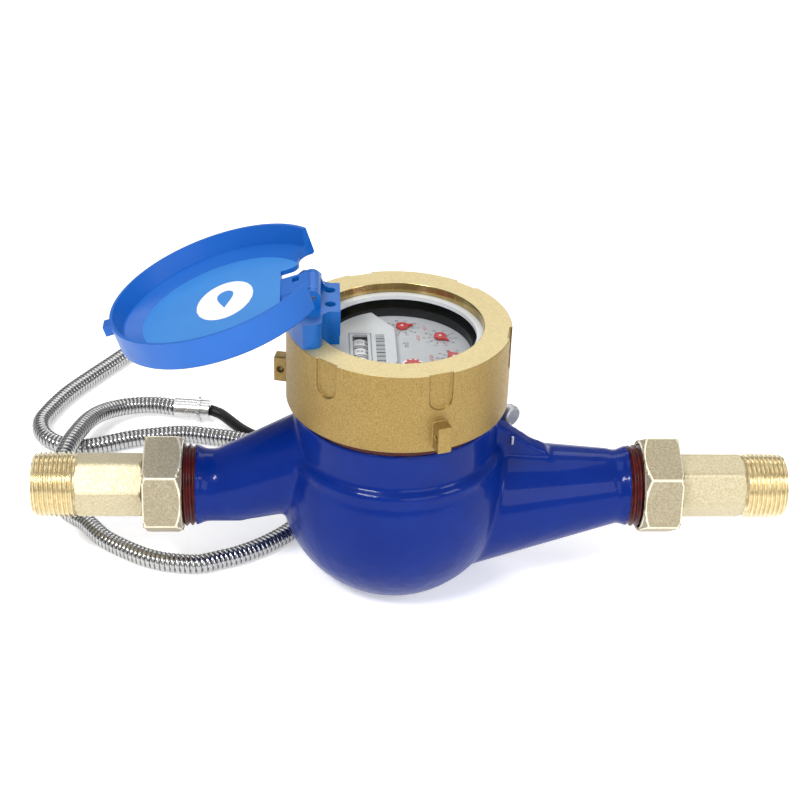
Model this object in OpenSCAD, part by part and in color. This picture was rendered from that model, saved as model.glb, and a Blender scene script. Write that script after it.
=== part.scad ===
// Multi-jet water meter for a 20 mm supply pipe, with a remote reading lead
// The meter stands on the foot under its bowl. +X points to the inlet, +Z up

/* [Pipe line] */
// Height of the pipe axis above the foot
axis_h = 39; // [36:0.5:41]
// From the meter's axis to the outlet end of the body
outlet_len = 90; // [86:0.5:110]
// From the meter's axis to the inlet end of the body
inlet_len = 105; // [98:0.5:120]
// Outside diameter of the pipe stubs
pipe_d = 28.8; // [28:0.2:31]
// Outside diameter of the thread on the body's ends
end_thread_d = 33.2; // [32.4:0.1:34]
// Length of the thread on the body's ends
end_thread_len = 12; // [11:0.5:15]
// Waterway through the pipe stubs
water_d = 20; // [16:0.5:21]

/* [Bowl and neck] */
// Diameter of the bowl
bowl_d = 90; // [88:0.5:96]
// Height of the bowl's centre above the pipe axis
bowl_rise = 1.4; // [0.4:0.2:3.4]
// Wall of the casting
wall = 4.5; // [3.5:0.5:6]
// How far the painted neck stands out over its thread
neck_step = 0.6; // [0.3:0.1:1.5]
// Height of the shoulder bead above the pipe axis
shoulder_h = 19.2; // [17.2:0.5:20.7]
// Radius of the shoulder bead
shoulder_r = 3.2; // [2:0.2:4]
// Thickness of the seal boss on the inlet's shoulder
boss_w = 8; // [6:0.5:12]

/* [Cap ring] */
// Wall of the cap ring outside its thread
ring_wall = 4.35; // [3.6:0.05:6]
// Height of the cap ring
ring_h = 32; // [30:0.5:38]
// Height of the ring's lower edge above the pipe axis
ring_rise = 42; // [40:0.5:48]
// How far the ring's lip reaches in over its thread
lip_w = 6.4; // [5.5:0.1:7.5]
// Thickness of the ring's top lip
lip_t = 4.3; // [3:0.1:6]
// Width of a seal lug on the ring
lug_w = 5.4; // [4.5:0.1:8]
// Height of a seal lug
lug_h = 10.7; // [9:0.1:14]
// How far a seal lug stands out of the ring
lug_out = 5.2; // [4.8:0.1:8]
// Hole for the seal wire
seal_hole_d = 2.5; // [2:0.1:3]
// Width of a spanner recess in the ring
recess_w = 9; // [6:0.5:12]
// Height of a spanner recess
recess_h = 14.8; // [8:0.1:16]
// Depth of a spanner recess
recess_depth = 1.2; // [0.6:0.1:2]

/* [Lid and hinge] */
// How far the lid's edge stays inside the ring's
lid_inset = 0.75; // [0.5:0.05:2]
// Depth of the lid from rim to top
lid_depth = 11.3; // [10.5:0.1:12]
// Thickness of the lid's floor and wall
lid_t = 1.8; // [1.6:0.1:2.4]
// Angle that the lid is folded back from closed
lid_open = 199; // [180:1:200]
// Distance of the hinge axis inside the ring's edge
hinge_in = 9.75; // [9:0.25:10.5]
// Height of the hinge axis above the ring's top
hinge_rise = 14; // [13.8:0.1:16]
// Radius of the hinge knuckles
knuckle_r = 3.2; // [2.8:0.1:3.4]
// Diameter of the hinge pin
pin_d = 2.5; // [2:0.1:3]
// Height of the hinge bracket above the ring's top
bracket_h = 10; // [9:0.1:10]
// Half width of the bracket's outer part
bracket_wide = 22.5; // [20:0.5:25]
// Half width of the bracket's inner part
bracket_slim = 11.7; // [11:0.1:13]
// How far the bracket reaches in from the hinge axis
bracket_reach = 10.5; // [9:0.5:13]
// Holes in the bracket's ledge
bracket_hole_d = 4.2; // [3:0.1:5]

/* [Register] */
// Thickness of the slip washer under the lip
slip_t = 1.7; // [1:0.1:2.2]
// Width of the slip washer's ring
slip_w = 7.5; // [6:0.1:9]
// Thickness of the glass
glass_t = 3; // [2:0.2:5]
// How far the glass reaches out over the register housing
glass_over = 1.5; // [0.8:0.1:2.5]
// Gap round the glass in the ring's thread
glass_play = 2.4; // [1.6:0.1:3]
// Thickness of the gasket under the glass
gasket_t = 0.8; // [0.6:0.1:1.6]
// Width of the gasket and the bezel
bezel_w = 8; // [7:0.1:9]
// Height of the bezel above the dial
bezel_h = 2.9; // [2.6:0.1:4]
// Thickness of the dial plate
dial_t = 1; // [0.8:0.1:1.2]
// Height of the register housing
housing_h = 17.8; // [17.6:0.1:22]
// Outside diameter of the register housing
housing_d = 69; // [68:0.2:69.4]
// Wall of the register housing
housing_t = 2; // [1.5:0.1:2.2]
// Radius of a pointer's disc
pointer_r = 2.4; // [1.8:0.1:2.6]
// Length of a pointer's tip from its spindle
pointer_tip = 4.4; // [3.8:0.1:4.4]
// Radius of a number drum
drum_r = 5; // [4:0.1:5.2]
// Gap between two number drums
drum_gap = 1.2; // [0.8:0.1:2]

/* [Measuring chamber] */
// Thickness of the pressure plate over the chamber
plate_t = 3.5; // [3:0.1:5]
// Share of the bowl's diameter that the chamber takes
chamber_share = 0.5; // [0.47:0.01:0.51]
// Wall of the chamber cup
cup_t = 3; // [2.5:0.1:3.2]
// Thickness of the partition in the body
partition_t = 4; // [3:0.5:5]
// Depth of the cup under the pipe axis as a share of the bowl's diameter
depth_share = 0.21; // [0.19:0.005:0.21]
// Gap between the impeller's blades and the cup
blade_gap = 2; // [1.5:0.1:3]
// Thickness of an impeller blade
blade_t = 1.5; // [1:0.1:2]

/* [Tail pieces] */
// Width across the flats of a union nut
nut_flats = 36; // [35.6:0.1:38]
// Length of a union nut
nut_len = 15.2; // [14.5:0.1:20]
// Thickness of the sealing washer
washer_t = 2; // [1:0.1:3]
// Thickness of the tail piece's collar
collar_t = 3.2; // [2.5:0.1:4]
// Length of a tail piece
tail_len = 50; // [46:0.5:60]
// Width across the flats of a tail piece
tail_flats = 22.5; // [21.5:0.1:23]
// Length of the pipe thread on a tail piece
tail_thread_len = 17; // [14:0.5:19]
// Diameter of the pipe thread on a tail piece
tail_thread_d = 26.4; // [26:0.1:26.8]
// Waterway through a tail piece
tail_bore = 18; // [15:0.5:19]

/* [Reading lead] */
// Diameter of the armoured conduit
conduit_d = 8; // [7:0.5:8]
// Diameter of the black cable
cable_d = 5; // [4:0.5:5]
// Diameter of the ferrules on the conduit
ferrule_d = 8.8; // [8.4:0.1:9]
// How far the gland sits under the ring's top
gland_drop = 13; // [10:0.5:14]

/* [Fits] */
// Gap around a turning spindle or pin
run_gap = 0.05; // [0.03:0.01:0.09]
// Gap between screwed or slid parts
slide_gap = 0.2; // [0.15:0.05:0.3]
// Gap that a moving part keeps from a fixed one
move_gap = 0.4; // [0.3:0.05:0.5]

/* [Hidden] */
$fn = 64;

// Colours
paint_blue = [0.10, 0.18, 0.62];
lid_blue = [0.13, 0.45, 0.85];
brass = [0.78, 0.66, 0.38];
steel = [0.75, 0.76, 0.78];
nylon = [0.92, 0.92, 0.90];
rubber = [0.08, 0.08, 0.09];
pointer_red = [0.80, 0.16, 0.14];

// The ring, the neck and the dial are sized from the register housing outwards and inwards
glass_d = housing_d + 2 * glass_over;
ring_thread_d = glass_d + 2 * glass_play;
ring_d = ring_thread_d + 2 * ring_wall;
ring_bore = ring_thread_d - 2 * lip_w;
neck_d = ring_thread_d + 2 * neck_step;
slip_over = 1;
slip_r = glass_d / 2 + slip_over;
dial_view_d = glass_d - 2 * bezel_w;

// Heights of the stack under the ring's lip
ring_z = axis_h + ring_rise;
ring_top = ring_z + ring_h;
slip_z = ring_top - lip_t - slip_t;
glass_z = slip_z - glass_t;
gasket_z = glass_z - gasket_t;
bezel_z = gasket_z - bezel_h;
dial_z = bezel_z - dial_t;
housing_z = dial_z - housing_h;
plate_z = housing_z - plate_t;
neck_top_gap = 2.3;
neck_top = bezel_z - neck_top_gap;
neck_thread_show = 3.2;

// Radii of the neck's bores
neck_thread_r = ring_thread_d / 2 - slide_gap;
register_play = 0.5;
upper_bore_r = housing_d / 2 + register_play;
ledge_w = 2;
chamber_bore_r = upper_bore_r - ledge_w;
bowl_z = axis_h + bowl_rise;
bowl_in_r = bowl_d / 2 - wall;

// Measuring chamber
partition_z = axis_h;
partition_top = partition_z + partition_t;
cup_in_r = bowl_d * chamber_share / 2;
cup_out_r = cup_in_r + cup_t;
cup_z = axis_h - bowl_d * depth_share;
cup_floor = 3.5;
cup_flange_t = 3;
cup_flange_w = 4;
cup_top = plate_z - 10;
cover_t = 2.5;
pin_r = 1.5;
pin_z = cup_z + 1;
pin_top = cup_z + 15;
hub_r = 4;
shaft_r = 2.5;
blade_count = 8;
blade_z = cup_z + cup_floor + 3.5;
blade_top = cup_top - 4;
magnet_r = 8;
magnet_h = 4;
ports = 8;
port_w = 5;
port_h = 9;
port_slant = 35;
port_len = 16;
strainer_t = 1.5;
strainer_gap = 2;
strainer_r = cup_out_r + strainer_gap + strainer_t;
strainer_slots = 20;
strainer_slot_w = 3;

// Register movement
movement_t = 1.5;
movement_z = housing_z + housing_t + 5;
spindle_r = 0.6;
wheel_r = 6;
wheel_t = 1.2;
pointer_t = 0.8;
pointer_z = bezel_z + 0.5;
pointer_ring = dial_view_d * 0.375;
pointer_drop = dial_view_d * 0.05;
pointer_start = 84;
pointer_step = 46;
pointer_turn = [16, -48, 118, 250];
star_x = dial_view_d * 0.09;
star_y = -dial_view_d * 0.2;
star_r = 3.2;
star_points = 8;
label_t = 1.2;
label_rise = 2.6;
label_edge = -dial_view_d * 0.019;
label_edge_y = dial_view_d * 0.234;
label_clip_x = -dial_view_d * 0.18;
label_clip_y = dial_view_d * 0.475;
label_skirt = 1;
drum_x = -dial_view_d * 0.26;
drum_first = dial_view_d * 0.08;
drum_pitch = dial_view_d * 0.125;
drum_w = drum_pitch - drum_gap;
drum_count = 4;
drum_z = bezel_z + label_rise - label_t - move_gap - drum_r;
drum_shaft_r = 1;
drum_last = drum_first - (drum_count - 1) * drum_pitch;
window_half = 2.85;
window_margin = 0.5;
board_t = 1.6;
board_x = drum_x - drum_r - 2 - board_t;

// Hinge
hinge_x = ring_d / 2 - hinge_in;
hinge_z = ring_top + hinge_rise;
knuckle_in = 6.7;
knuckle_out = 9.1;
knuckle_gap = 0.3;
bracket_in = hinge_x - bracket_reach;
bracket_neck = hinge_x - 3.7;
bracket_foot_gap = 0.3;
bracket_foot_in = 0.2;
bracket_round = 4;
peg_r = 1.75;
peg_len = 4;
peg_angle = 22;
lid_d = ring_d - 2 * lid_inset;
lid_rim_z = ring_top + move_gap;
lid_top = lid_rim_z + lid_depth;
lid_floor = lid_top - lid_t;
lid_edge = 1.2;
lid_draft = 1.2;
lid_ledge = 0.8;
lid_cove = 6.3;
lid_cove_h = 2.2;
lid_gap = 0.6;
leaf_t = 2.5;
leaf_half = 6.7;
leaf_z = ring_top + bracket_h + 0.3;
leaf_len = 19;
leaf_end = hinge_x - leaf_len;
leaf_slot = [2.6, 3.6];
leaf_slot_y = 1.4;
stop_half = 2.6;
tab_half = 3;
tab_out = 4;
tab_t = 4;
tab_lift = 3.5;

// Seal lugs, counted from the front round to the inlet side
lug_angle = 18.7;
lug_step = 120;
lug_lift = 1.8;
lug_hole_z = ring_z + lug_lift + lug_h / 2;
recess_step = 60;
boss_x = neck_d / 2 + 6.5;
boss_rise = 22.5;
boss_z = axis_h + boss_rise;
boss_front = -5;
bead_at = [boss_x + 0.1, 8.5, boss_z + 5.4];
bead_r = 4.1;
bead_t = 4.4;
wire_r = 0.5;

// The stubs flare from their collars into the bowl, the inlet downwards and the outlet upwards
flare_step = 0.6;
stub_rim = 4;
stub_rim_sink = 0.5;
inlet_flare = [inlet_len - end_thread_len - 5, 10];
inlet_flare_rise = -9.2;
inlet_flare_r = 29.5;
outlet_flare = [outlet_len - end_thread_len - 12, 30];
outlet_flare_rise = 13.3;
outlet_flare_r = 20;
inlet_mouth_x = chamber_bore_r - 2;
inlet_mouth_rise = -14;
inlet_mouth_r = 12.5;
outlet_mouth_x = chamber_bore_r - 4;
outlet_mouth_rise = 14;
outlet_mouth_r = 9.5;

// Tail pieces
end_thread_r = end_thread_d / 2;
collar_r = end_thread_r - 1;
nut_lip_r = max(tail_thread_d / 2, tail_flats / sqrt(3)) + 0.5;
nut_lip_t = 3;
nut_back = washer_t + collar_t + nut_lip_t;
outlet_nut_turn = 9.5;
inlet_nut_turn = 51.5;
outlet_tail_turn = 43;
inlet_tail_turn = 36;

// Reading lead: the points that the cable and the conduit follow
gland_y = ring_d / 2;
gland_z = ring_top - gland_drop;
gland_len = 10;
gland_r = 5.5;
cable_start = [0, gland_y + gland_len, gland_z];
cable_points = [cable_start, cable_start + [0, 7.25, -0.8], cable_start + [0, 14.25, -4.2],
    cable_start + [-0.5, 19.75, -10], [-1.5, 76, 82.5], [-3, 78, 73], [-5, 79, 62], [-8, 79.5, 51],
    [-12.5, 80, 40], [-18, 81, 28], [-25, 82.5, 17.5], [-33, 84.5, 9.5], [-42, 87.5, 4.5],
    [-51, 91, 2.7], [-58.5, 95.5, 2.5], [-64, 100.5, 2.6], [-69.5, 106.5, 3.5], [-74, 110.5, 4.8],
    [-79, 112, 6]];
ferrule_points = [[-79, 112, 6], [-95, 114, 6]];
conduit_points = [[-95, 114, 6], [-104, 116, 6], [-113, 115.5, 6], [-121, 111.5, 7], [-127.5, 104, 9],
    [-132, 94, 11.2], [-135, 83.5, 12.6], [-138, 73, 12.6], [-140.5, 62.5, 10.8], [-142, 51, 7.5],
    [-140, 40, 5], [-134.5, 32, 4], [-126, 24, 4], [-117, 12, 4], [-104, 2, 4], [-94, -3, 4],
    [-84, -5, 4], [-77, -5, 4], [-69, -2, 4], [-62, 1, 4], [-54, 6, 4], [-48, 11, 4], [-42, 17, 4],
    [-33, 29, 4], [-22, 40, 4], [-8, 46, 4], [10, 48, 4], [28, 46, 4], [46, 49, 4], [59, 60, 4],
    [62, 76, 4], [53, 90, 4], [36, 94, 4], [16, 88, 4], [-4, 80, 4], [-24, 75.5, 4], [-40, 77.5, 4],
    [-52, 82.5, 4], [-64, 88.5, 4], [-78, 92, 4], [-90, 94, 4], [-103, 92, 4], [-112, 90, 4],
    [-121, 86.5, 4], [-128.2, 83.7, 4], [-135, 82.5, 4], [-145, 85.2, 4], [-152.3, 92.5, 4],
    [-155, 102.5, 4], [-153, 112, 4], [-146.5, 128, 4], [-137, 144, 4], [-128, 158, 4], [-121, 169, 4],
    [-110, 183, 4], [-98, 196, 4], [-84, 207, 4], [-72, 212.5, 4], [-66, 214, 5], [-58, 215, 6]];
end_ferrule_points = [[-58, 215, 6], [-42, 215, 6]];
end_cable_points = [[-42, 215, 6], [-32, 215, 4], [-22, 215, 2.5], [-6, 214, 2.5], [10, 213, 2.5],
    [26, 213, 2.5]];
lead_len = 22;
lead_r = 0.7;

function unit(v) = v / norm(v);
function lean(p, i) = unit(p[min(i + 1, len(p) - 1)] - p[max(i - 1, 0)]);
function rim(p, i, r, n, up) =
    let (t = lean(p, i), s = unit(cross(t, up)), u = cross(s, t))
    [for (k = [0 : n - 1]) p[i] + r * (cos(360 * k / n) * s + sin(360 * k / n) * u)];
function pointer_at(i) = let (a = pointer_start - pointer_step * (i - 1))
    [pointer_ring * cos(a), pointer_ring * sin(a) - pointer_drop];
function drum_y(i) = drum_first - (i - 1) * drum_pitch;
function lug_hole(a) = let (r = ring_d / 2 + lug_out / 2) [r * sin(a), -r * cos(a), lug_hole_z];

// A tube swept along points
module tube(p, d, n = 10, up = [0, 0, 1]) {
    rings = [for (i = [0 : len(p) - 1]) rim(p, i, d / 2, n, up)];
    polyhedron(
        points = [for (ring = rings, q = ring) q],
        faces = concat(
            [[for (k = [0 : n - 1]) k]],
            [[for (k = [n - 1 : -1 : 0]) (len(p) - 1) * n + k]],
            [for (i = [0 : len(p) - 2], k = [0 : n - 1])
                [i * n + k, (i + 1) * n + k, (i + 1) * n + (k + 1) % n]],
            [for (i = [0 : len(p) - 2], k = [0 : n - 1])
                [i * n + k, (i + 1) * n + (k + 1) % n, i * n + (k + 1) % n]]));
}

// A round bar between two points
module bar(a, b, r) {
    d = b - a;
    translate(a)
        rotate([0, acos(d[2] / norm(d)), atan2(d[1], d[0])])
            cylinder(r = r, h = norm(d));
}

// A flat ring lying at height z
module washer(z, t, r_out, r_in) {
    translate([0, 0, z])
        difference() {
            cylinder(r = r_out, h = t);
            translate([0, 0, -1]) cylinder(r = r_in, h = t + 2);
        }
}

// Turns a shape drawn along +Z so that it runs along the pipe, from x outwards
module along_pipe(x, outlet) {
    translate([outlet ? -x : x, 0, axis_h])
        rotate([0, outlet ? -90 : 90, 0])
            children();
}

// Sets a shape drawn at the front of the ring at an angle round it
module round_ring(angle) {
    rotate([0, 0, angle]) children();
}

module body_outline() {
    intersection() {
        union() {
            translate([0, bowl_z]) circle(r = bowl_d / 2, $fn = 96);
            translate([neck_d / 2 + 0.2, axis_h + shoulder_h]) circle(r = shoulder_r, $fn = 48);
            translate([0, bowl_z]) square([neck_d / 2, ring_z - neck_thread_show - bowl_z]);
            translate([0, bowl_z]) square([neck_thread_r, neck_top - bowl_z]);
        }
        union() {
            translate([0, -bowl_d]) square([bowl_d, bowl_d + axis_h + shoulder_h]);
            square([neck_d / 2 + shoulder_r + 1, neck_top + 1]);
        }
    }
}

module body_hollow() {
    difference() {
        union() {
            translate([0, plate_z]) square([upper_bore_r, neck_top]);
            translate([0, partition_top]) square([chamber_bore_r, plate_z]);
            translate([0, partition_z - 1]) square([cup_out_r + slide_gap, partition_t + 2]);
            intersection() {
                translate([0, bowl_z]) circle(r = bowl_in_r, $fn = 96);
                translate([0, wall]) square([bowl_d, partition_z - wall]);
            }
        }
        translate([-bowl_d, 0]) square([bowl_d, 2 * neck_top]);
    }
}

// A bar of changing radius that runs from x on the pipe axis inwards to x2, rise above it
module slope(x, x2, rise, r1, r2, outlet) {
    tilt = atan2(rise, x - x2);
    translate([outlet ? -x : x, 0, axis_h])
        rotate([0, outlet ? 90 - tilt : tilt - 90, 0])
            cylinder(r1 = r1, r2 = r2, h = norm([x - x2, rise]));
}

// A pipe stub: thread, a short rim before it, straight collar and a flare that sinks into the bowl
module stub(len, outlet, flare, rise, flare_r) {
    start = len - end_thread_len;
    along_pipe(flare[0] - 2, outlet) cylinder(d = pipe_d, h = start - flare[0] + 3);
    slope(flare[0], flare[1], rise, pipe_d / 2 + flare_step, flare_r, outlet);
    along_pipe(start - stub_rim, outlet)
        cylinder(r1 = pipe_d / 2 - 0.3, r2 = end_thread_r - 0.35, h = stub_rim + stub_rim_sink);
    along_pipe(start, outlet) cylinder(d = end_thread_d, h = end_thread_len);
}

// The waterway of a stub: straight under the collar, then sloping to the chamber
module waterway(len, outlet, flare, mouth_x, rise, mouth_r) {
    along_pipe(flare[0] - 2, outlet) cylinder(d = water_d, h = len - flare[0] + 3);
    slope(flare[0], mouth_x, rise, water_d / 2, mouth_r, outlet);
}

// A gusset between the inlet stub and the neck, with a hole for the seal wire
module seal_boss() {
    foot_z = axis_h + 8;
    translate([0, boss_front + boss_w, 0])
        rotate([90, 0, 0])
            linear_extrude(height = boss_w)
                polygon([[neck_d / 2 - 3, foot_z], [neck_d / 2 - 3, boss_z + 9],
                    [boss_x - 5, boss_z + 8.2], [boss_x + 8, boss_z - 1],
                    [boss_x + 15, boss_z - 4.2], [boss_x + 15, foot_z]]);
}

module body() {
    color(paint_blue)
        difference() {
            union() {
                rotate_extrude($fn = 96) body_outline();
                stub(outlet_len, true, outlet_flare, outlet_flare_rise, outlet_flare_r);
                stub(inlet_len, false, inlet_flare, inlet_flare_rise, inlet_flare_r);
                seal_boss();
            }
            rotate_extrude($fn = 96) body_hollow();
            waterway(outlet_len, true, outlet_flare, outlet_mouth_x, outlet_mouth_rise, outlet_mouth_r);
            waterway(inlet_len, false, inlet_flare, inlet_mouth_x, inlet_mouth_rise, inlet_mouth_r);
            translate([boss_x, boss_front - 1, boss_z])
                rotate([-90, 0, 0]) cylinder(d = seal_hole_d, h = boss_w + 2, $fn = 32);
            translate([-inlet_len, -bowl_d, -bowl_d]) cube([2 * inlet_len, 2 * bowl_d, bowl_d]);
        }
}

// Spanner recess with a round lower end, cut into the ring's wall
module recess() {
    translate([0, -ring_d / 2 + recess_depth, ring_top - recess_h + recess_w / 2])
        rotate([90, 0, 0]) {
            cylinder(d = recess_w, h = recess_w);
            translate([-recess_w / 2, 0, 0]) cube([recess_w, recess_h, recess_w]);
        }
}

module seal_lug() {
    reach = ring_d / 2 + lug_out;
    difference() {
        translate([-lug_w / 2, -reach, ring_z + lug_lift]) cube([lug_w, lug_out + 2, lug_h]);
        translate([-lug_w, -reach + lug_out / 2, lug_hole_z])
            rotate([0, 90, 0]) cylinder(d = seal_hole_d, h = 2 * lug_w);
    }
}

module cap_ring() {
    color(brass)
        difference() {
            union() {
                translate([0, 0, ring_z]) cylinder(d = ring_d, h = ring_h, $fn = 96);
                for (k = [0 : 2]) round_ring(lug_angle + k * lug_step) seal_lug();
            }
            translate([0, 0, ring_z - 1])
                cylinder(d = ring_thread_d, h = ring_h + 1 - lip_t, $fn = 96);
            translate([0, 0, ring_z]) cylinder(d = ring_bore, h = ring_h + 1, $fn = 96);
            for (k = [0 : 5]) round_ring(lug_angle + k * recess_step) recess();
            for (s = [-1, 1]) peg_place(s) cylinder(r = peg_r + run_gap, h = peg_len + 1);
            translate([0, 0, gland_z])
                rotate([-90, 0, 0]) cylinder(r = cable_d / 2 + 1.5, h = ring_d);
        }
}

module slip_washer() {
    color(nylon) washer(slip_z, slip_t, slip_r, slip_r - slip_w);
}

module glass() {
    color([0.85, 0.92, 0.95, 0.3]) translate([0, 0, glass_z]) cylinder(d = glass_d, h = glass_t);
}

module glass_gasket() {
    color(rubber) washer(gasket_z, gasket_t, glass_d / 2, dial_view_d / 2);
}

module register_bezel() {
    color([0.2, 0.2, 0.21]) washer(bezel_z, bezel_h, glass_d / 2, dial_view_d / 2);
}

module register_housing() {
    color([0.72, 0.5, 0.32])
        difference() {
            translate([0, 0, housing_z]) cylinder(d = housing_d, h = housing_h);
            translate([0, 0, housing_z + housing_t])
                cylinder(d = housing_d - 2 * housing_t - 4, h = housing_h);
            translate([0, 0, movement_z])
                cylinder(d = housing_d - 2 * housing_t, h = housing_h);
        }
}

module spindle_holes(z, t) {
    for (i = [1 : 4])
        translate([pointer_at(i)[0], pointer_at(i)[1], z - 1])
            cylinder(r = spindle_r + run_gap, h = t + 2, $fn = 24);
    translate([star_x, star_y, z - 1]) cylinder(r = spindle_r + run_gap, h = t + 2, $fn = 24);
}

module dial_plate() {
    slot = 2 * (drum_r + 1);
    color([0.88, 0.89, 0.90])
        difference() {
            translate([0, 0, dial_z]) cylinder(d = housing_d - 1, h = dial_t);
            spindle_holes(dial_z, dial_t);
            translate([drum_x - slot / 2, drum_last - drum_w / 2 - 1, dial_z - 1])
                cube([slot, drum_first - drum_last + drum_w + 2, dial_t + 2]);
        }
}

module label_outline(inset) {
    far = label_clip_x - inset;
    intersection() {
        circle(r = dial_view_d / 2 - move_gap - inset);
        polygon([[label_edge - inset, -label_edge_y], [label_edge - inset, label_edge_y],
            [far, label_clip_y], [-dial_view_d, label_clip_y], [-dial_view_d, -label_clip_y],
            [far, -label_clip_y]]);
    }
}

module label_plate() {
    window_y = drum_last - drum_w / 2 - window_margin;
    color([0.93, 0.94, 0.95])
        translate([0, 0, bezel_z])
            difference() {
                linear_extrude(height = label_rise) label_outline(0);
                translate([0, 0, -1])
                    linear_extrude(height = label_rise - label_t + 1) label_outline(label_skirt);
                translate([drum_x - window_half, window_y, -1])
                    cube([2 * window_half, drum_first + drum_w / 2 + window_margin - window_y, 4]);
            }
}

module reader_board() {
    color([0.05, 0.35, 0.18])
        translate([board_x, drum_last, movement_z + movement_t])
            cube([board_t, drum_first - drum_last, drum_r + 2]);
}

// Uprights that carry the drums' shaft
module drum_post(y) {
    difference() {
        translate([drum_x - 2.5, y, movement_z + movement_t - 0.5])
            cube([5, 1.5, drum_z + 2.5 - movement_z - movement_t]);
        translate([drum_x, y - 1, drum_z])
            rotate([-90, 0, 0]) cylinder(r = drum_shaft_r + run_gap, h = 4, $fn = 24);
    }
}

module movement_plate() {
    color([0.8, 0.8, 0.76])
        union() {
            difference() {
                translate([0, 0, movement_z])
                    cylinder(r = housing_d / 2 - housing_t - slide_gap, h = movement_t);
                spindle_holes(movement_z, movement_t);
                translate([0, 0, movement_z - 1])
                    cylinder(r = spindle_r + run_gap, h = movement_t + 2, $fn = 24);
            }
            drum_post(drum_first + drum_w / 2 + 0.5);
            drum_post(drum_last - drum_w / 2 - 2);
        }
}

module drum_shaft() {
    end = drum_last - drum_w / 2 - 2;
    color(steel)
        translate([drum_x, end, drum_z])
            rotate([-90, 0, 0])
                cylinder(r = drum_shaft_r, h = drum_first + drum_w / 2 + 2 - end, $fn = 24);
}

module number_drum(i) {
    color([0.95, 0.95, 0.94])
        translate([drum_x, drum_y(i) - drum_w / 2, drum_z])
            rotate([-90, 0, 0])
                difference() {
                    cylinder(r = drum_r, h = drum_w);
                    translate([0, 0, -1])
                        cylinder(r = drum_shaft_r + run_gap, h = drum_w + 2, $fn = 24);
                    translate([0, 0, -1]) washer(0, 2.2, drum_r - 1, 2.2);
                }
}

// A red pointer: a disc drawn out to a tip
module pointer(i) {
    translate([pointer_at(i)[0], pointer_at(i)[1], pointer_z])
        rotate([0, 0, pointer_turn[i - 1]])
            color(pointer_red)
                difference() {
                    linear_extrude(height = pointer_t) {
                        circle(r = pointer_r, $fn = 32);
                        polygon([[0, -pointer_r * 0.8], [pointer_r * 1.3, -0.4], [pointer_tip, -0.25],
                            [pointer_tip, 0.25], [pointer_r * 1.3, 0.4], [0, pointer_r * 0.8]]);
                    }
                    translate([0, 0, -1]) cylinder(r = spindle_r, h = pointer_t + 2, $fn = 24);
                }
}

// The spindle of a pointer with its gear wheel under the dial
module gear_wheel(i) {
    low = movement_z + movement_t + 2;
    rise = i % 2 == 0 ? 3 : 0;
    teeth = 20;
    color([0.86, 0.86, 0.82])
        translate([pointer_at(i)[0], pointer_at(i)[1], 0]) {
            translate([0, 0, movement_z])
                cylinder(r = spindle_r, h = pointer_z + pointer_t - movement_z, $fn = 24);
            translate([0, 0, low + rise])
                difference() {
                    cylinder(r = wheel_r, h = wheel_t);
                    for (k = [0 : teeth - 1])
                        rotate([0, 0, k * 360 / teeth])
                            translate([wheel_r, 0, -1]) cylinder(r = 0.5, h = wheel_t + 2, $fn = 6);
                }
        }
}

module flow_star() {
    color([0.75, 0.12, 0.12])
        translate([star_x, star_y, 0]) {
            translate([0, 0, movement_z])
                cylinder(r = spindle_r, h = pointer_z + pointer_t - movement_z, $fn = 24);
            translate([0, 0, pointer_z])
                linear_extrude(height = pointer_t)
                    polygon([for (k = [0 : 2 * star_points - 1])
                        (k % 2 == 0 ? star_r : star_r * 0.55)
                            * [cos(180 * k / star_points), sin(180 * k / star_points)]]);
            translate([0, 0, movement_z + movement_t + 2]) cylinder(r = 4, h = wheel_t);
        }
}

module follower_magnet() {
    low = housing_z + housing_t;
    color([0.3, 0.3, 0.32]) {
        translate([0, 0, low]) cylinder(r = spindle_r, h = movement_z + movement_t + 4 - low, $fn = 24);
        translate([0, 0, low + 0.6]) cylinder(r = magnet_r, h = 3.6);
        translate([0, 0, movement_z + movement_t + 1]) cylinder(r = 2.5, h = 2.4);
    }
}

module pressure_plate() {
    groove = 1.2;
    color([0.55, 0.56, 0.58])
        difference() {
            translate([0, 0, plate_z]) cylinder(r = upper_bore_r - slide_gap, h = plate_t);
            washer(plate_z + plate_t / 2 - 0.8, 1.6, upper_bore_r + 1, upper_bore_r - slide_gap - groove);
            translate([0, 0, plate_z - 1]) cylinder(r = magnet_r + 1.5, h = 2);
        }
}

module pressure_o_ring() {
    color(rubber)
        translate([0, 0, plate_z + plate_t / 2])
            rotate_extrude()
                translate([upper_bore_r - 0.75, 0]) circle(r = 0.65, $fn = 24);
}

module chamber_cover() {
    color(nylon)
        difference() {
            translate([0, 0, cup_top]) cylinder(r = cup_out_r, h = plate_z - cup_top);
            translate([0, 0, cup_top + cover_t])
                cylinder(r = cup_out_r - cup_t, h = plate_z - cup_top);
            translate([0, 0, cup_top - 1]) cylinder(r = shaft_r + run_gap, h = cover_t + 2);
        }
}

// Slots that let the water through the cup's wall at a slant
module ports(z, slant) {
    for (k = [0 : ports - 1])
        rotate([0, 0, k * 360 / ports])
            translate([cup_in_r - 3, 0, z])
                rotate([0, 0, slant])
                    translate([-3, -port_w / 2, 0]) cube([port_len, port_w, port_h]);
}

module chamber_cup() {
    color(nylon)
        difference() {
            union() {
                translate([0, 0, cup_z]) cylinder(r = cup_out_r, h = cup_top - cup_z);
                translate([0, 0, partition_top])
                    cylinder(r = cup_out_r + cup_flange_w, h = cup_flange_t);
            }
            translate([0, 0, cup_z + cup_floor]) cylinder(r = cup_in_r, h = cup_top);
            translate([0, 0, pin_z]) cylinder(r = pin_r, h = cup_floor + 1, $fn = 32);
            ports(cup_z + cup_floor + 2, port_slant);
            ports(partition_top + cup_flange_t + 3, -port_slant);
        }
}

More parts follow.
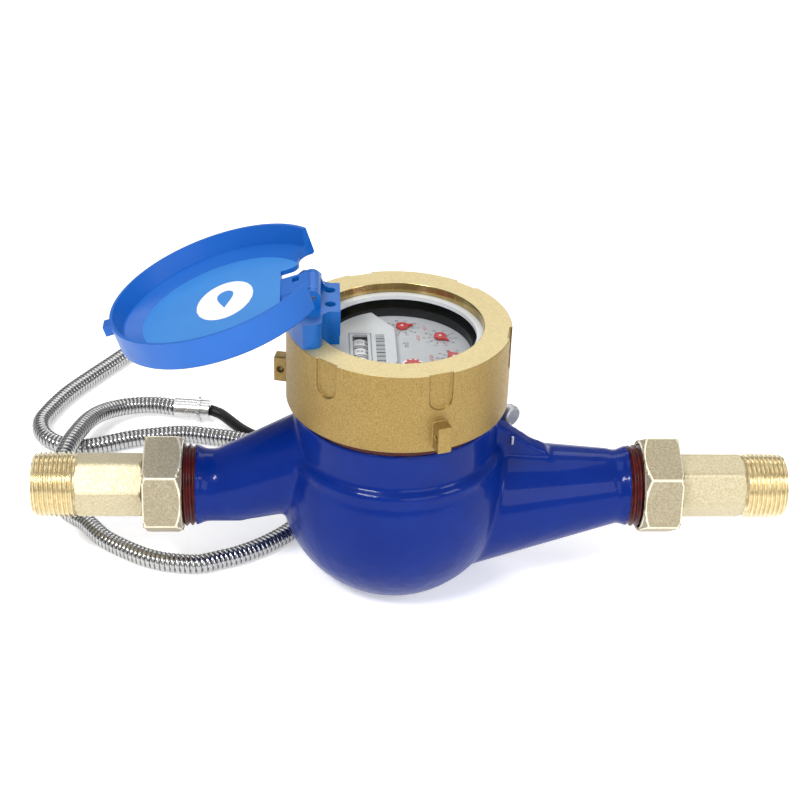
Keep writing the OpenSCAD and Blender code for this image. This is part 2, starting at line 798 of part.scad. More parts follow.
module strainer() {
    floor_t = 2;
    top = partition_z - 0.3;
    color([0.86, 0.86, 0.84])
        difference() {
            translate([0, 0, cup_z - floor_t]) cylinder(r = strainer_r, h = top - cup_z + floor_t);
            translate([0, 0, cup_z]) cylinder(r = strainer_r - strainer_t, h = top);
            for (k = [0 : strainer_slots - 1])
                rotate([0, 0, k * 360 / strainer_slots])
                    translate([strainer_r - 5, -strainer_slot_w / 2, cup_z + 2])
                        cube([8, strainer_slot_w, top - cup_z - 5]);
            for (k = [0 : 7])
                rotate([0, 0, k * 45])
                    translate([14, 0, cup_z - floor_t - 1]) cylinder(r = 3, h = floor_t + 2);
        }
}

module pivot_pin() {
    color(steel) translate([0, 0, pin_z]) cylinder(r = pin_r, h = pin_top - pin_z, $fn = 32);
}

module impeller() {
    hub_z = cup_z + cup_floor + 1.5;
    color([0.9, 0.9, 0.86])
        difference() {
            union() {
                translate([0, 0, hub_z]) cylinder(r = hub_r, h = blade_top - hub_z);
                translate([0, 0, pin_top + 2])
                    cylinder(r = shaft_r, h = cup_top + cover_t + magnet_h - 1 - pin_top);
                for (k = [0 : blade_count - 1])
                    rotate([0, 0, k * 360 / blade_count])
                        translate([0, -blade_t / 2, blade_z])
                            cube([cup_in_r - blade_gap, blade_t, blade_top - 1 - blade_z]);
            }
            translate([0, 0, hub_z - 1])
                cylinder(r = pin_r + run_gap, h = pin_top + run_gap - hub_z + 1, $fn = 32);
        }
}

module drive_magnet() {
    color([0.28, 0.28, 0.3])
        washer(cup_top + cover_t + 0.8, magnet_h, magnet_r, shaft_r);
}

module union_washer(len, outlet) {
    color(rubber) along_pipe(len, outlet) washer(0, washer_t, end_thread_r - 0.8, water_d / 2);
}

module inlet_washer() {
    union_washer(inlet_len, false);
}

module outlet_washer() {
    union_washer(outlet_len, true);
}

// A union nut: hexagon, chamfered towards the body, with a lip behind the tail's collar
module union_nut(len, outlet, turn) {
    corner = nut_flats / sqrt(3);
    chamfer = 3;
    start = nut_back - nut_len;
    color([0.76, 0.70, 0.52])
        along_pipe(len, outlet)
            translate([0, 0, start])
                difference() {
                    intersection() {
                        rotate([0, 0, turn]) cylinder(r = corner, h = nut_len, $fn = 6);
                        union() {
                            cylinder(r1 = nut_flats / 2 - 0.3, r2 = corner + 1, h = chamfer);
                            translate([0, 0, chamfer]) cylinder(r = corner + 1, h = nut_len);
                        }
                        union() {
                            cylinder(r = corner + 1, h = nut_len - chamfer / 2);
                            translate([0, 0, nut_len - chamfer / 2])
                                cylinder(r1 = corner + 0.4, r2 = corner - 1.2, h = chamfer / 2);
                        }
                    }
                    translate([0, 0, -1])
                        cylinder(r = end_thread_r + slide_gap, h = nut_len - nut_lip_t + 1);
                    cylinder(r = nut_lip_r, h = nut_len + 1);
                }
}

module inlet_nut() {
    union_nut(inlet_len, false, inlet_nut_turn);
}

module outlet_nut() {
    union_nut(outlet_len, true, outlet_nut_turn);
}

// A tail piece: collar, round shank, hexagon and a pipe thread that tapers a little
module tail_piece(len, outlet, turn) {
    hex_z = collar_t + nut_lip_t + 0.5;
    thread_z = tail_len - tail_thread_len;
    color([0.84, 0.74, 0.46])
        along_pipe(len + washer_t, outlet)
            difference() {
                union() {
                    cylinder(r = collar_r, h = collar_t);
                    cylinder(r = tail_flats / 2, h = hex_z + 1);
                    translate([0, 0, hex_z])
                        rotate([0, 0, turn])
                            cylinder(r = tail_flats / sqrt(3), h = thread_z + 1 - hex_z, $fn = 6);
                    translate([0, 0, thread_z])
                        cylinder(r1 = tail_thread_d / 2, r2 = tail_thread_d / 2 - 0.5, h = tail_thread_len);
                }
                translate([0, 0, -1]) cylinder(d = tail_bore, h = tail_len + 2);
            }
}

module inlet_tail() {
    tail_piece(inlet_len, false, inlet_tail_turn);
}

module outlet_tail() {
    tail_piece(outlet_len, true, outlet_tail_turn);
}

module peg_place(side) {
    r = (ring_bore + ring_d) / 4;
    translate([-r * cos(peg_angle), side * r * sin(peg_angle), ring_top - peg_len]) children();
}

// The bracket seen from above, grown by g all round
module bracket_plan(g) {
    soft = bracket_round;
    far = ring_d;
    translate([-far, -bracket_wide - g]) square([far - bracket_neck - soft, 2 * (bracket_wide + g)]);
    translate([-far, -bracket_wide + soft])
        square([far - bracket_neck + g, 2 * (bracket_wide - soft)]);
    for (s = [-1, 1])
        translate([-bracket_neck - soft, s * (bracket_wide - soft)]) circle(r = soft + g, $fn = 48);
    translate([-bracket_neck - 1, -bracket_slim - g])
        square([bracket_neck + 1 - bracket_in + g, 2 * (bracket_slim + g)]);
    for (s = [-1, 1])
        difference() {
            translate([-bracket_neck - 1, s > 0 ? 0 : -bracket_slim - soft])
                square([soft + 1, bracket_slim + soft]);
            translate([-bracket_neck + soft, s * (bracket_slim + soft)]) circle(r = soft - g, $fn = 48);
        }
}

// Profile of a bracket knuckle, seen along the hinge, straight or with a toe that slopes inwards
module knuckle_web(toe) {
    foot_y = ring_top + bracket_h - 0.5;
    translate([-hinge_x, hinge_z]) circle(r = knuckle_r);
    if (toe)
        polygon([[-hinge_x - knuckle_r, foot_y], [-hinge_x - knuckle_r, hinge_z],
            [-hinge_x + knuckle_r * 0.8, hinge_z + knuckle_r * 0.6],
            [-hinge_x + knuckle_r + 1.6, foot_y + 1.6], [-hinge_x + knuckle_r + 3.6, foot_y]]);
    else
        translate([-hinge_x - knuckle_r, foot_y]) square([2 * knuckle_r, hinge_z - foot_y]);
}

module bracket_knuckle(y, toe) {
    translate([0, y + knuckle_out - knuckle_in - knuckle_gap, 0])
        rotate([90, 0, 0])
            linear_extrude(height = knuckle_out - knuckle_in - knuckle_gap) knuckle_web(toe);
}

// The part of the bracket that stands in the ring's opening, over the slip washer
module bracket_foot() {
    low = slip_z + slip_t + move_gap;
    translate([0, 0, low])
        linear_extrude(height = ring_top + 0.5 - low)
            intersection() {
                bracket_plan(-bracket_foot_in);
                circle(r = ring_bore / 2 - bracket_foot_gap, $fn = 96);
            }
}

module hinge_bracket() {
    color([0.12, 0.33, 0.75])
        difference() {
            union() {
                translate([0, 0, ring_top])
                    linear_extrude(height = bracket_h)
                        intersection() {
                            bracket_plan(0);
                            circle(d = ring_d, $fn = 96);
                        }
                bracket_foot();
                bracket_knuckle(knuckle_in + knuckle_gap, true);
                bracket_knuckle(-knuckle_out, false);
                for (s = [-1, 1]) peg_place(s) cylinder(r = peg_r, h = peg_len + 1);
            }
            translate([-hinge_x, -bracket_wide, hinge_z])
                rotate([-90, 0, 0]) cylinder(d = pin_d, h = 2 * bracket_wide, $fn = 32);
            for (s = [-1, 1])
                translate([-bracket_in - bracket_hole_d * 0.9, s * bracket_slim * 0.48, ring_top - 1])
                    cylinder(d = bracket_hole_d, h = bracket_h + 2, $fn = 32);
        }
}

// Section of the lid's cup, closed, from the rim down to the floor
module lid_section() {
    r = lid_d / 2;
    wall_r = r - lid_edge - lid_draft;
    polygon([[0, lid_top], [r - 0.8, lid_top], [r, lid_top - 0.8], [r, lid_rim_z],
        [r - lid_edge, lid_rim_z], [wall_r, lid_floor - lid_cove_h],
        [wall_r - lid_ledge, lid_floor - lid_cove_h], [wall_r - lid_ledge - lid_cove, lid_floor],
        [0, lid_floor]]);
}

module lid_closed() {
    difference() {
        union() {
            difference() {
                union() {
                    rotate_extrude($fn = 96) lid_section();
                    translate([lid_d / 2 - 1, -tab_half, lid_rim_z + tab_lift])
                        cube([tab_out + 1, 2 * tab_half, tab_t]);
                }
                translate([0, 0, ring_top - 1])
                    linear_extrude(height = 3 * lid_depth) bracket_plan(lid_gap);
            }
            translate([-hinge_x, -leaf_half, leaf_z]) cube([hinge_x - leaf_end, 2 * leaf_half, leaf_t]);
            translate([-hinge_x, -leaf_half, leaf_z]) cube([knuckle_r, 2 * leaf_half, hinge_z - leaf_z]);
            translate([-bracket_in + lid_gap, -leaf_half, lid_floor])
                cube([bracket_in - lid_gap - leaf_end, 2 * leaf_half, leaf_z + leaf_t - lid_floor]);
            translate([-hinge_x, -leaf_half, hinge_z])
                rotate([-90, 0, 0]) cylinder(r = knuckle_r, h = 2 * leaf_half);
            lid_stop();
        }
        translate([-hinge_x, -bracket_wide, hinge_z])
            rotate([-90, 0, 0]) cylinder(d = pin_d + 2 * run_gap, h = 2 * bracket_wide, $fn = 32);
        translate([-hinge_x + knuckle_r + 0.8, leaf_slot_y, leaf_z - 1])
            cube([leaf_slot[0], leaf_slot[1], leaf_t + 2]);
    }
}

// Ribs on the leaf that meet the bracket's outer edge when the lid is folded back
module lid_stop() {
    reach = ring_d / 2 - hinge_x;
    sink = hinge_rise - bracket_h;
    height = reach * sin(lid_open) - sink * cos(lid_open) - knuckle_gap;
    for (s = [-1, 1])
        translate([-hinge_x + reach - 3, s * (leaf_half - stop_half / 2) - stop_half / 2,
            leaf_z + leaf_t - 0.2])
                cube([8, stop_half, hinge_z + height - leaf_z - leaf_t + 0.2]);
}

module lid() {
    color(lid_blue)
        translate([-hinge_x, 0, hinge_z])
            rotate([0, -lid_open, 0])
                translate([hinge_x, 0, -hinge_z]) lid_closed();
}

module lid_pin() {
    color(steel)
        translate([-hinge_x, -knuckle_out + 0.3, hinge_z])
            rotate([-90, 0, 0]) cylinder(d = pin_d, h = 2 * knuckle_out - 0.6, $fn = 32);
}

// The wire runs from the ring's lug at the back, through the bead, into the boss and over its front
module seal_wire() {
    turn = lug_angle + lug_step;
    way = [cos(turn), sin(turn), 0];
    lug_at = lug_hole(turn);
    half = lug_w / 2;
    front = boss_front - wire_r - 0.6;
    color(steel)
        tube([lug_at + (half + 3) * way - [0, 0, 2], lug_at + half * way, lug_at - half * way, bead_at,
            [boss_x, boss_front + boss_w, boss_z], [boss_x, boss_front, boss_z],
            [boss_x, front, boss_z + 1], [boss_x, front, boss_z + 4]], 2 * wire_r, 8, [1, 0, 0]);
}

module seal_bead() {
    color([0.78, 0.8, 0.82])
        translate(bead_at)
            rotate([0, 90, -50]) cylinder(r = bead_r, h = bead_t, center = true, $fn = 48);
}

module cable_gland() {
    color(brass)
        difference() {
            union() {
                translate([0, gland_y - 3, gland_z])
                    rotate([-90, 0, 0]) cylinder(r = cable_d / 2 + 1.5, h = 4);
                translate([0, gland_y - 1, gland_z])
                    rotate([-90, 0, 0]) cylinder(r = gland_r, h = gland_len - 2, $fn = 6);
                translate([0, gland_y, gland_z])
                    rotate([-90, 0, 0]) cylinder(r1 = gland_r - 0.6, r2 = cable_d / 2 + 1, h = gland_len);
            }
            difference() {
                translate([0, 0, gland_z]) rotate([-90, 0, 0]) cylinder(r = 2 * gland_r, h = gland_y);
                translate([0, 0, gland_z]) rotate([-90, 0, 0]) cylinder(r = cable_d / 2 + 1.5, h = gland_y);
            }
        }
}

module signal_cable() {
    color(rubber) tube(cable_points, cable_d);
}

// A ferrule crimped on the conduit, with a flange near its cable end
module ferrule(a, b) {
    d = unit(b - a);
    bar(a, b, ferrule_d / 2);
    bar(a + 4 * d, a + 5.2 * d, ferrule_d / 2 + 1.3);
}

module cable_ferrule() {
    color(steel) ferrule(ferrule_points[0], ferrule_points[1]);
}

module conduit() {
    color(steel) tube(conduit_points, conduit_d);
}

module end_ferrule() {
    color(steel) ferrule(end_ferrule_points[1], end_ferrule_points[0]);
}

module end_cable() {
    color(rubber) tube(end_cable_points, cable_d);
}

module lead_wires() {
    tip = end_cable_points[len(end_cable_points) - 1];
    color([0.7, 0.3, 0.2])
        for (k = [-1 : 1])
            translate(tip + [0, k * 1.5, -0.6])
                rotate([0, 90, k * 6]) cylinder(r = lead_r, h = lead_len, $fn = 16);
}

body();
cap_ring();
slip_washer();
glass();
glass_gasket();
register_bezel();
register_housing();
dial_plate();
label_plate();
reader_board();
movement_plate();
drum_shaft();
number_drum(1);  // number_drum_1
number_drum(2);  // number_drum_2
number_drum(3);  // number_drum_3
number_drum(4);  // number_drum_4
pointer(1);  // pointer_1
pointer(2);  // pointer_2
pointer(3);  // pointer_3
pointer(4);  // pointer_4
gear_wheel(1);  // gear_wheel_1
gear_wheel(2);  // gear_wheel_2
gear_wheel(3);  // gear_wheel_3
gear_wheel(4);  // gear_wheel_4
flow_star();
follower_magnet();
pressure_plate();
pressure_o_ring();
chamber_cover();
chamber_cup();
strainer();
pivot_pin();
impeller();
drive_magnet();
inlet_washer();
outlet_washer();
inlet_nut();
outlet_nut();
inlet_tail();
outlet_tail();
hinge_bracket();
lid();
lid_pin();
seal_wire();
seal_bead();
cable_gland();
signal_cable();
cable_ferrule();
conduit();
end_ferrule();
end_cable();
lead_wires();
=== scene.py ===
import bpy
import bmesh
import math
from mathutils import Matrix, Vector


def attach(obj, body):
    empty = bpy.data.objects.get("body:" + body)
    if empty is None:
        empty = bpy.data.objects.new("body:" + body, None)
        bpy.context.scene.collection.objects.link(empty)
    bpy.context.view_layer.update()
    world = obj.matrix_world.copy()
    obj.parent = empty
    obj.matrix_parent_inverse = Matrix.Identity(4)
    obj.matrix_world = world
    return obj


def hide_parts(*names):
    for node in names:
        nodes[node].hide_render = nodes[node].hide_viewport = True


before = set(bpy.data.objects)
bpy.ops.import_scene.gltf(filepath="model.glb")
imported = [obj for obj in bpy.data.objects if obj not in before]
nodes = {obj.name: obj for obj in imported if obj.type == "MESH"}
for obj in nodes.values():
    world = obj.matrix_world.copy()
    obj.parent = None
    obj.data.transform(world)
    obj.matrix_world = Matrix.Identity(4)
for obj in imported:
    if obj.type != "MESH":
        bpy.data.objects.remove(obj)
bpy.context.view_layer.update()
scene = bpy.context.scene
MM = 0.001
TURN = 2 * math.pi

# Sizes that the part's source also has, in millimetres and degrees
AXIS_H = 39.0
RING_TOP = 113.0
HINGE_X, HINGE_Z = -33.0, 127.0
LID_OPEN = 199.0
LID_FLOOR = 122.9
OUTLET_LEN = 90.0
INLET_LEN = 105.0
END_THREAD = 12.0
WASHER_T = 2.0
DRUM_X, DRUM_Z, DRUM_R, DRUM_W = -14.56, 96.3, 5.0, 5.8
DRUM_FIRST, DRUM_PITCH = 4.48, 7.0
DRUM_COUNT = 4
BEZEL_Z = 100.3
LABEL_TOP = 102.9
STAR = (5.04, -11.2)
POINTER_COUNT = 4
POINTER_R, POINTER_FIRST, POINTER_STEP, POINTER_Y = 21.0, 84, 46, -2.8

# Camera, fitted to the photograph: 1736.2 is the focal length in pixels of a picture 800 wide
CAM_TARGET = Vector((1.33, 0.0, 78.4)) * MM
CAM_DISTANCE = 672.5 * MM
CAM_ELEVATION, CAM_YAW, CAM_ROLL = math.radians(30.71), math.radians(-3.74), math.radians(-2.18)
CAM_SENSOR = 36.0
CAM_LENS = 1736.2 / 800.0 * CAM_SENSOR


def make_camera():
    el, yaw, roll = CAM_ELEVATION, CAM_YAW, CAM_ROLL
    back = Vector((math.sin(yaw) * math.cos(el), -math.cos(yaw) * math.cos(el), math.sin(el)))
    level = Vector((math.cos(yaw), math.sin(yaw), 0.0))
    upright = back.cross(level)
    right = level * math.cos(roll) - upright * math.sin(roll)
    up = level * math.sin(roll) + upright * math.cos(roll)
    cam = bpy.data.cameras.new("photo_camera")
    cam.sensor_width = CAM_SENSOR
    cam.lens = CAM_LENS
    cam.clip_start = 0.01
    cam.clip_end = 50.0
    ob = bpy.data.objects.new("photo_camera", cam)
    scene.collection.objects.link(ob)
    pos = CAM_TARGET + back * CAM_DISTANCE
    ob.matrix_world = Matrix((
        (right.x, up.x, back.x, pos.x),
        (right.y, up.y, back.y, pos.y),
        (right.z, up.z, back.z, pos.z),
        (0, 0, 0, 1)))
    scene.camera = ob


make_camera()


# Materials
class Mat:
    """A Principled material with a few noise helpers."""

    def __init__(self, name, color, rough=0.5, metal=0.0, **sockets):
        self.m = bpy.data.materials.new(name)
        self.m.use_nodes = True
        self.t = self.m.node_tree
        self.b = self.t.nodes["Principled BSDF"]
        self.b.inputs["Base Color"].default_value = (*color, 1)
        self.b.inputs["Roughness"].default_value = rough
        self.b.inputs["Metallic"].default_value = metal
        for k, v in sockets.items():
            self.b.inputs[k.replace("_", " ")].default_value = v
        self.coord = self.t.nodes.new("ShaderNodeTexCoord")

    def noise(self, scale, detail=4.0, rough=0.55, stretch=None):
        n = self.t.nodes.new("ShaderNodeTexNoise")
        n.inputs["Scale"].default_value = scale
        n.inputs["Detail"].default_value = detail
        n.inputs["Roughness"].default_value = rough
        if stretch:
            mp = self.t.nodes.new("ShaderNodeMapping")
            mp.inputs["Scale"].default_value = stretch
            self.t.links.new(self.coord.outputs["Object"], mp.inputs["Vector"])
            self.t.links.new(mp.outputs["Vector"], n.inputs["Vector"])
        else:
            self.t.links.new(self.coord.outputs["Object"], n.inputs["Vector"])
        return n.outputs["Fac"]

    def ramp(self, fac, stops):
        r = self.t.nodes.new("ShaderNodeValToRGB")
        while len(r.color_ramp.elements) < len(stops):
            r.color_ramp.elements.new(0.5)
        for e, (position, color) in zip(r.color_ramp.elements, stops):
            e.position = position
            e.color = (*color, 1)
        self.t.links.new(fac, r.inputs["Fac"])
        return r.outputs["Color"]

    def blend(self, first, second, fac):
        """Base colour that goes from first to second."""
        mix = self.t.nodes.new("ShaderNodeMix")
        mix.data_type = "RGBA"
        self.t.links.new(fac, mix.inputs[0])
        self.t.links.new(first, mix.inputs[6])
        self.t.links.new(second, mix.inputs[7])
        self.t.links.new(mix.outputs[2], self.b.inputs["Base Color"])

    def color(self, fac, stops):
        self.t.links.new(self.ramp(fac, stops), self.b.inputs["Base Color"])

    def rough(self, fac, low, high):
        mr = self.t.nodes.new("ShaderNodeMapRange")
        mr.inputs["From Min"].default_value = 0.3
        mr.inputs["From Max"].default_value = 0.7
        mr.inputs["To Min"].default_value = low
        mr.inputs["To Max"].default_value = high
        self.t.links.new(fac, mr.inputs["Value"])
        self.t.links.new(mr.outputs["Result"], self.b.inputs["Roughness"])

    def bump(self, *layers):
        """Bumps one on another, each given as (height, strength, distance)."""
        last = None
        for fac, strength, dist in layers:
            b = self.t.nodes.new("ShaderNodeBump")
            b.inputs["Strength"].default_value = strength
            b.inputs["Distance"].default_value = dist
            self.t.links.new(fac, b.inputs["Height"])
            if last is not None:
                self.t.links.new(last, b.inputs["Normal"])
            last = b.outputs["Normal"]
        self.t.links.new(last, self.b.inputs["Normal"])


def enamel():
    m = Mat("blue_enamel", (0.002, 0.019, 0.18), 0.3,
            Coat_Weight=0.21, Coat_Roughness=0.03, Specular_IOR_Level=0.04)
    m.color(m.noise(55, 3), [(0.3, (0.0015, 0.016, 0.163)), (0.55, (0.002, 0.019, 0.18)),
                             (0.8, (0.003, 0.022, 0.2))])
    m.bump((m.noise(75, 2), 0.5, 0.0016), (m.noise(420, 2), 0.15, 0.0004))
    return m.m


def primer():
    m = Mat("red_primer", (0.06, 0.008, 0.007), 0.34, Specular_IOR_Level=0.25)
    m.color(m.noise(260, 4), [(0.3, (0.035, 0.004, 0.004)), (0.7, (0.085, 0.010, 0.009))])
    m.bump((m.noise(700, 3), 0.3, 0.0003))
    return m.m


def cast_brass():
    m = Mat("cast_brass", (0.5, 0.36, 0.13), 0.42, 0.7)
    fine = m.noise(1500, 6, 0.7)
    sand = m.ramp(fine, [(0.28, (0.18, 0.113, 0.03)), (0.45, (0.28, 0.183, 0.053)),
                         (0.6, (0.33, 0.223, 0.069)), (0.8, (0.42, 0.3, 0.12))])
    worn = m.ramp(fine, [(0.28, (0.23, 0.147, 0.041)), (0.5, (0.35, 0.24, 0.076)),
                         (0.8, (0.46, 0.333, 0.132))])
    m.blend(sand, worn, m.noise(70, 3))
    m.rough(m.noise(700, 4), 0.36, 0.54)
    m.bump((m.noise(2200, 4, 0.7), 0.4, 0.00025), (m.noise(320, 3), 0.15, 0.0003))
    return m.m


def turned_brass():
    # Paler brass for the ring's top face: partly its turned finish, partly painted light where the top faces the
    # lamps.
    m = Mat("turned_brass", (0.44, 0.34, 0.15), 0.4, 0.55)
    m.color(m.noise(800, 5, 0.7), [(0.3, (0.53, 0.43, 0.21)), (0.7, (0.63, 0.53, 0.28))])
    m.rough(m.noise(900, 4), 0.36, 0.5)
    m.bump((m.noise(1500, 3), 0.1, 0.0002))
    return m.m


def bore_brass():
    m = Mat("bored_brass_painted_reflections", (0.5, 0.38, 0.16), 0.2, 1.0)
    # Painted reflection: dark and bright streaks running up the bore stand for the surroundings mirrored in the
    # bored brass.
    m.color(m.noise(70, 4, stretch=(1, 1, 0.04)), [(0.3, (0.22, 0.155, 0.05)), (0.5, (0.42, 0.31, 0.115)),
                                                   (0.7, (0.72, 0.58, 0.30))])
    m.rough(m.noise(900, 4), 0.16, 0.28)
    return m.m


def edge_brass():
    # Painted highlight: bright brass for the nuts' bevels, for the light that catches their edges.
    m = Mat("painted_edge_highlight_brass", (0.80, 0.73, 0.54), 0.3, 0.6)
    m.color(m.noise(900, 4), [(0.3, (0.74, 0.66, 0.47)), (0.7, (0.92, 0.87, 0.70))])
    return m.m


def nut_brass():
    m = Mat("pickled_brass", (0.42, 0.36, 0.24), 0.5, 0.45)
    m.color(m.noise(1300, 6, 0.75), [(0.3, (0.24, 0.195, 0.115)), (0.5, (0.38, 0.325, 0.215)),
                                     (0.72, (0.53, 0.475, 0.34))])
    m.rough(m.noise(800, 4), 0.42, 0.58)
    m.bump((m.noise(1900, 4, 0.7), 0.35, 0.0003), (m.noise(60, 3, stretch=(1, 14, 14)), 0.05, 0.0003))
    return m.m


def tail_brass():
    m = Mat("forged_brass", (0.56, 0.49, 0.32), 0.4, 0.5)
    m.color(m.noise(1100, 6, 0.72), [(0.3, (0.42, 0.35, 0.20)), (0.5, (0.55, 0.48, 0.31)),
                                     (0.7, (0.66, 0.60, 0.43))])
    m.rough(m.noise(900, 4), 0.34, 0.5)
    m.bump((m.noise(1500, 4, 0.7), 0.25, 0.00025))
    return m.m


def thread_brass():
    m = Mat("cut_thread_brass", (0.74, 0.62, 0.38), 0.24, 0.85)
    m.color(m.noise(500, 4), [(0.3, (0.66, 0.54, 0.31)), (0.7, (0.82, 0.72, 0.48))])
    m.bump((m.noise(1500, 3), 0.1, 0.0002))
    return m.m


def lid_blue():
    m = Mat("lid_plastic", (0.006, 0.17, 0.57), 0.4, Specular_IOR_Level=0.4)
    m.color(m.noise(90, 3), [(0.3, (0.005, 0.106, 0.445)), (0.7, (0.006, 0.114, 0.462))])
    m.rough(m.noise(120, 3), 0.34, 0.46)
    return m.m


def lid_floor_blue():
    # Painted light: a paler copy of the lid's blue for the floor, for light that shines through the thin
    # plastic.
    m = Mat("lid_floor_plastic", (0.04, 0.23, 0.62), 0.4, Specular_IOR_Level=0.4)
    m.color(m.noise(90, 3), [(0.3, (0.038, 0.215, 0.58)), (0.7, (0.043, 0.23, 0.61))])
    m.rough(m.noise(120, 3), 0.34, 0.46)
    return m.m


def bracket_blue():
    m = Mat("bracket_plastic", (0.004, 0.13, 0.50), 0.32, Specular_IOR_Level=0.3)
    m.color(m.noise(90, 3), [(0.3, (0.003, 0.095, 0.38)), (0.7, (0.005, 0.125, 0.45))])
    m.rough(m.noise(120, 3), 0.26, 0.4)
    return m.m


def stainless(name, low, high):
    m = Mat(name, (low, low, low), 0.2, 1.0)
    m.color(m.noise(900, 4), [(0.3, (low, low, low)), (0.7, (high, high, high * 0.99))])
    m.rough(m.noise(1200, 4), 0.14, 0.3)
    return m.m


def nickel():
    m = Mat("nickel", (0.6, 0.6, 0.6), 0.25, 1.0)
    m.color(m.noise(600, 4), [(0.3, (0.5, 0.5, 0.5)), (0.7, (0.7, 0.7, 0.69))])
    m.bump((m.noise(1500, 3), 0.1, 0.0002))
    return m.m


def rubber_black():
    m = Mat("black_sheath", (0.006, 0.006, 0.007), 0.42, Specular_IOR_Level=0.25)
    m.color(m.noise(400, 3), [(0.3, (0.004, 0.004, 0.005)), (0.7, (0.010, 0.010, 0.011))])
    m.bump((m.noise(1200, 3), 0.15, 0.0002))
    return m.m


def plain(name, a, b, rough=0.45, scale=300, metal=0.0, bump=0.08, **sockets):
    """A material that wanders between two close colours."""
    m = Mat(name, a, rough, metal, **sockets)
    m.color(m.noise(scale, 4), [(0.3, a), (0.7, b)])
    m.bump((m.noise(scale * 4, 3), bump, 0.0002))
    return m.m


def glass_mat():
    m = Mat("clear_glass", (0.02, 0.03, 0.03), 0.03, 0.0, Alpha=0.05, Specular_IOR_Level=0.6)
    m.bump((m.noise(40, 2), 0.02, 0.0003))
    return m.m


M = {
    "enamel": enamel(), "primer": primer(), "ring": cast_brass(), "nut": nut_brass(),
    "ring_top": turned_brass(), "ring_bore": bore_brass(), "edge": edge_brass(),
    "tail": tail_brass(), "thread": thread_brass(),
    "lid": lid_blue(), "lid_floor": lid_floor_blue(), "bracket": bracket_blue(),
    "steel": stainless("stainless_strip", 0.40, 0.56),
    # A darker copy of the same steel, painted shade in the conduit's seams
    "groove": stainless("stainless_seam_painted_shade", 0.09, 0.18),
    "nickel": nickel(), "rubber": rubber_black(), "glass": glass_mat(),
    "white": plain("white_nylon", (0.62, 0.64, 0.66), (0.68, 0.70, 0.71), 0.4),
    "dark": plain("dark_bezel", (0.008, 0.008, 0.009), (0.014, 0.014, 0.015), 0.4, Specular_IOR_Level=0.2),
    "dial": plain("dial_face", (0.46, 0.48, 0.50), (0.51, 0.53, 0.55), 0.5, 200),
    "label": plain("label_face", (0.54, 0.56, 0.57), (0.59, 0.61, 0.62), 0.35, 200),
    "red": plain("pointer_red", (0.46, 0.022, 0.022), (0.55, 0.035, 0.033), 0.3),
    "drum": plain("drum_white", (0.82, 0.82, 0.81), (0.88, 0.88, 0.87), 0.4),
    "ink_and_shade": plain("print_black_and_painted_shade", (0.02, 0.02, 0.022), (0.035, 0.035, 0.038), 0.5),
    "grey_ink": plain("print_grey", (0.22, 0.24, 0.25), (0.28, 0.3, 0.31), 0.5),
    "white_ink": plain("print_white", (0.84, 0.85, 0.86), (0.9, 0.9, 0.9), 0.45),
    "board": plain("circuit_green", (0.02, 0.16, 0.07), (0.03, 0.22, 0.1), 0.4),
    "magnet": plain("magnet_grey", (0.1, 0.1, 0.11), (0.14, 0.14, 0.15), 0.5, 300, 0.6),
    "copper": plain("drawn_copper", (0.55, 0.3, 0.16), (0.64, 0.38, 0.22), 0.35, 200, 1.0),
    "lead": plain("seal_lead", (0.42, 0.43, 0.45), (0.56, 0.57, 0.6), 0.42, 500, 0.7, 0.25),
}


# Mesh helpers
CURVE_STEPS = 24
CURVE_SOFTENING = 6


def add_object(name, mesh, mats, smooth=True, body="meter"):
    ob = bpy.data.objects.new(name, mesh)
    scene.collection.objects.link(ob)
    for m in mats:
        mesh.materials.append(m)
    if smooth:
        mesh.polygons.foreach_set("use_smooth", [True] * len(mesh.polygons))
    mesh.update()
    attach(ob, body)
    return ob


def mesh_from(name, verts, faces, mat_index=None):
    me = bpy.data.meshes.new(name)
    me.from_pydata([tuple(v) for v in verts], [], faces)
    if mat_index:
        me.polygons.foreach_set("material_index", mat_index)
    me.validate()
    bm = bmesh.new()
    bm.from_mesh(me)
    bmesh.ops.recalc_face_normals(bm, faces=bm.faces)
    bm.to_mesh(me)
    bm.free()
    return me


def angles(sides):
    return [TURN * k / sides for k in range(sides)]


def polar(r, a, z):
    """A point given in millimetres by radius, angle and height, in metres."""
    return Vector((r * math.cos(a), r * math.sin(a), z)) * MM


def band(first, second, sides):
    """Faces between two rings of corners, numbered from first and from second."""
    return [(first + k, first + (k + 1) % sides, second + (k + 1) % sides, second + k) for k in range(sides)]


def join(parts):
    """One list of verts, faces and material numbers out of several (verts, faces, material)."""
    verts, faces, mats = [], [], []
    for v, f, m in parts:
        k = len(verts)
        verts += v
        faces += [tuple(i + k for i in q) for q in f]
        mats += [m] * len(f)
    return verts, faces, mats


def smooth_line(points, step):
    """Points every step along a curve through points, in metres."""
    p = [Vector(q) * MM for q in points]
    p = [p[0] * 2 - p[1]] + p + [p[-1] * 2 - p[-2]]
    dense = []
    for i in range(1, len(p) - 2):
        a, b, c, d = p[i - 1:i + 3]
        for k in range(CURVE_STEPS):
            t = k / CURVE_STEPS
            dense.append(0.5 * ((2 * b) + (c - a) * t + (2 * a - 5 * b + 4 * c - d) * t * t
                                + (3 * b - a - 3 * c + d) * t ** 3))
    dense.append(p[-2])
    for _ in range(CURVE_SOFTENING):
        dense = [dense[0]] + [(dense[i - 1] + dense[i] * 2 + dense[i + 1]) / 4
                              for i in range(1, len(dense) - 1)] + [dense[-1]]
    out = [dense[0]]
    left = step
    for a, b in zip(dense, dense[1:]):
        seg = (b - a).length
        while seg >= left:
            a = a + (b - a) * (left / seg)
            seg = (b - a).length
            out.append(a)
            left = step
        left -= seg
    if (out[-1] - dense[-1]).length > step * 0.3:
        out.append(dense[-1])
    else:
        out[-1] = dense[-1]
    return out


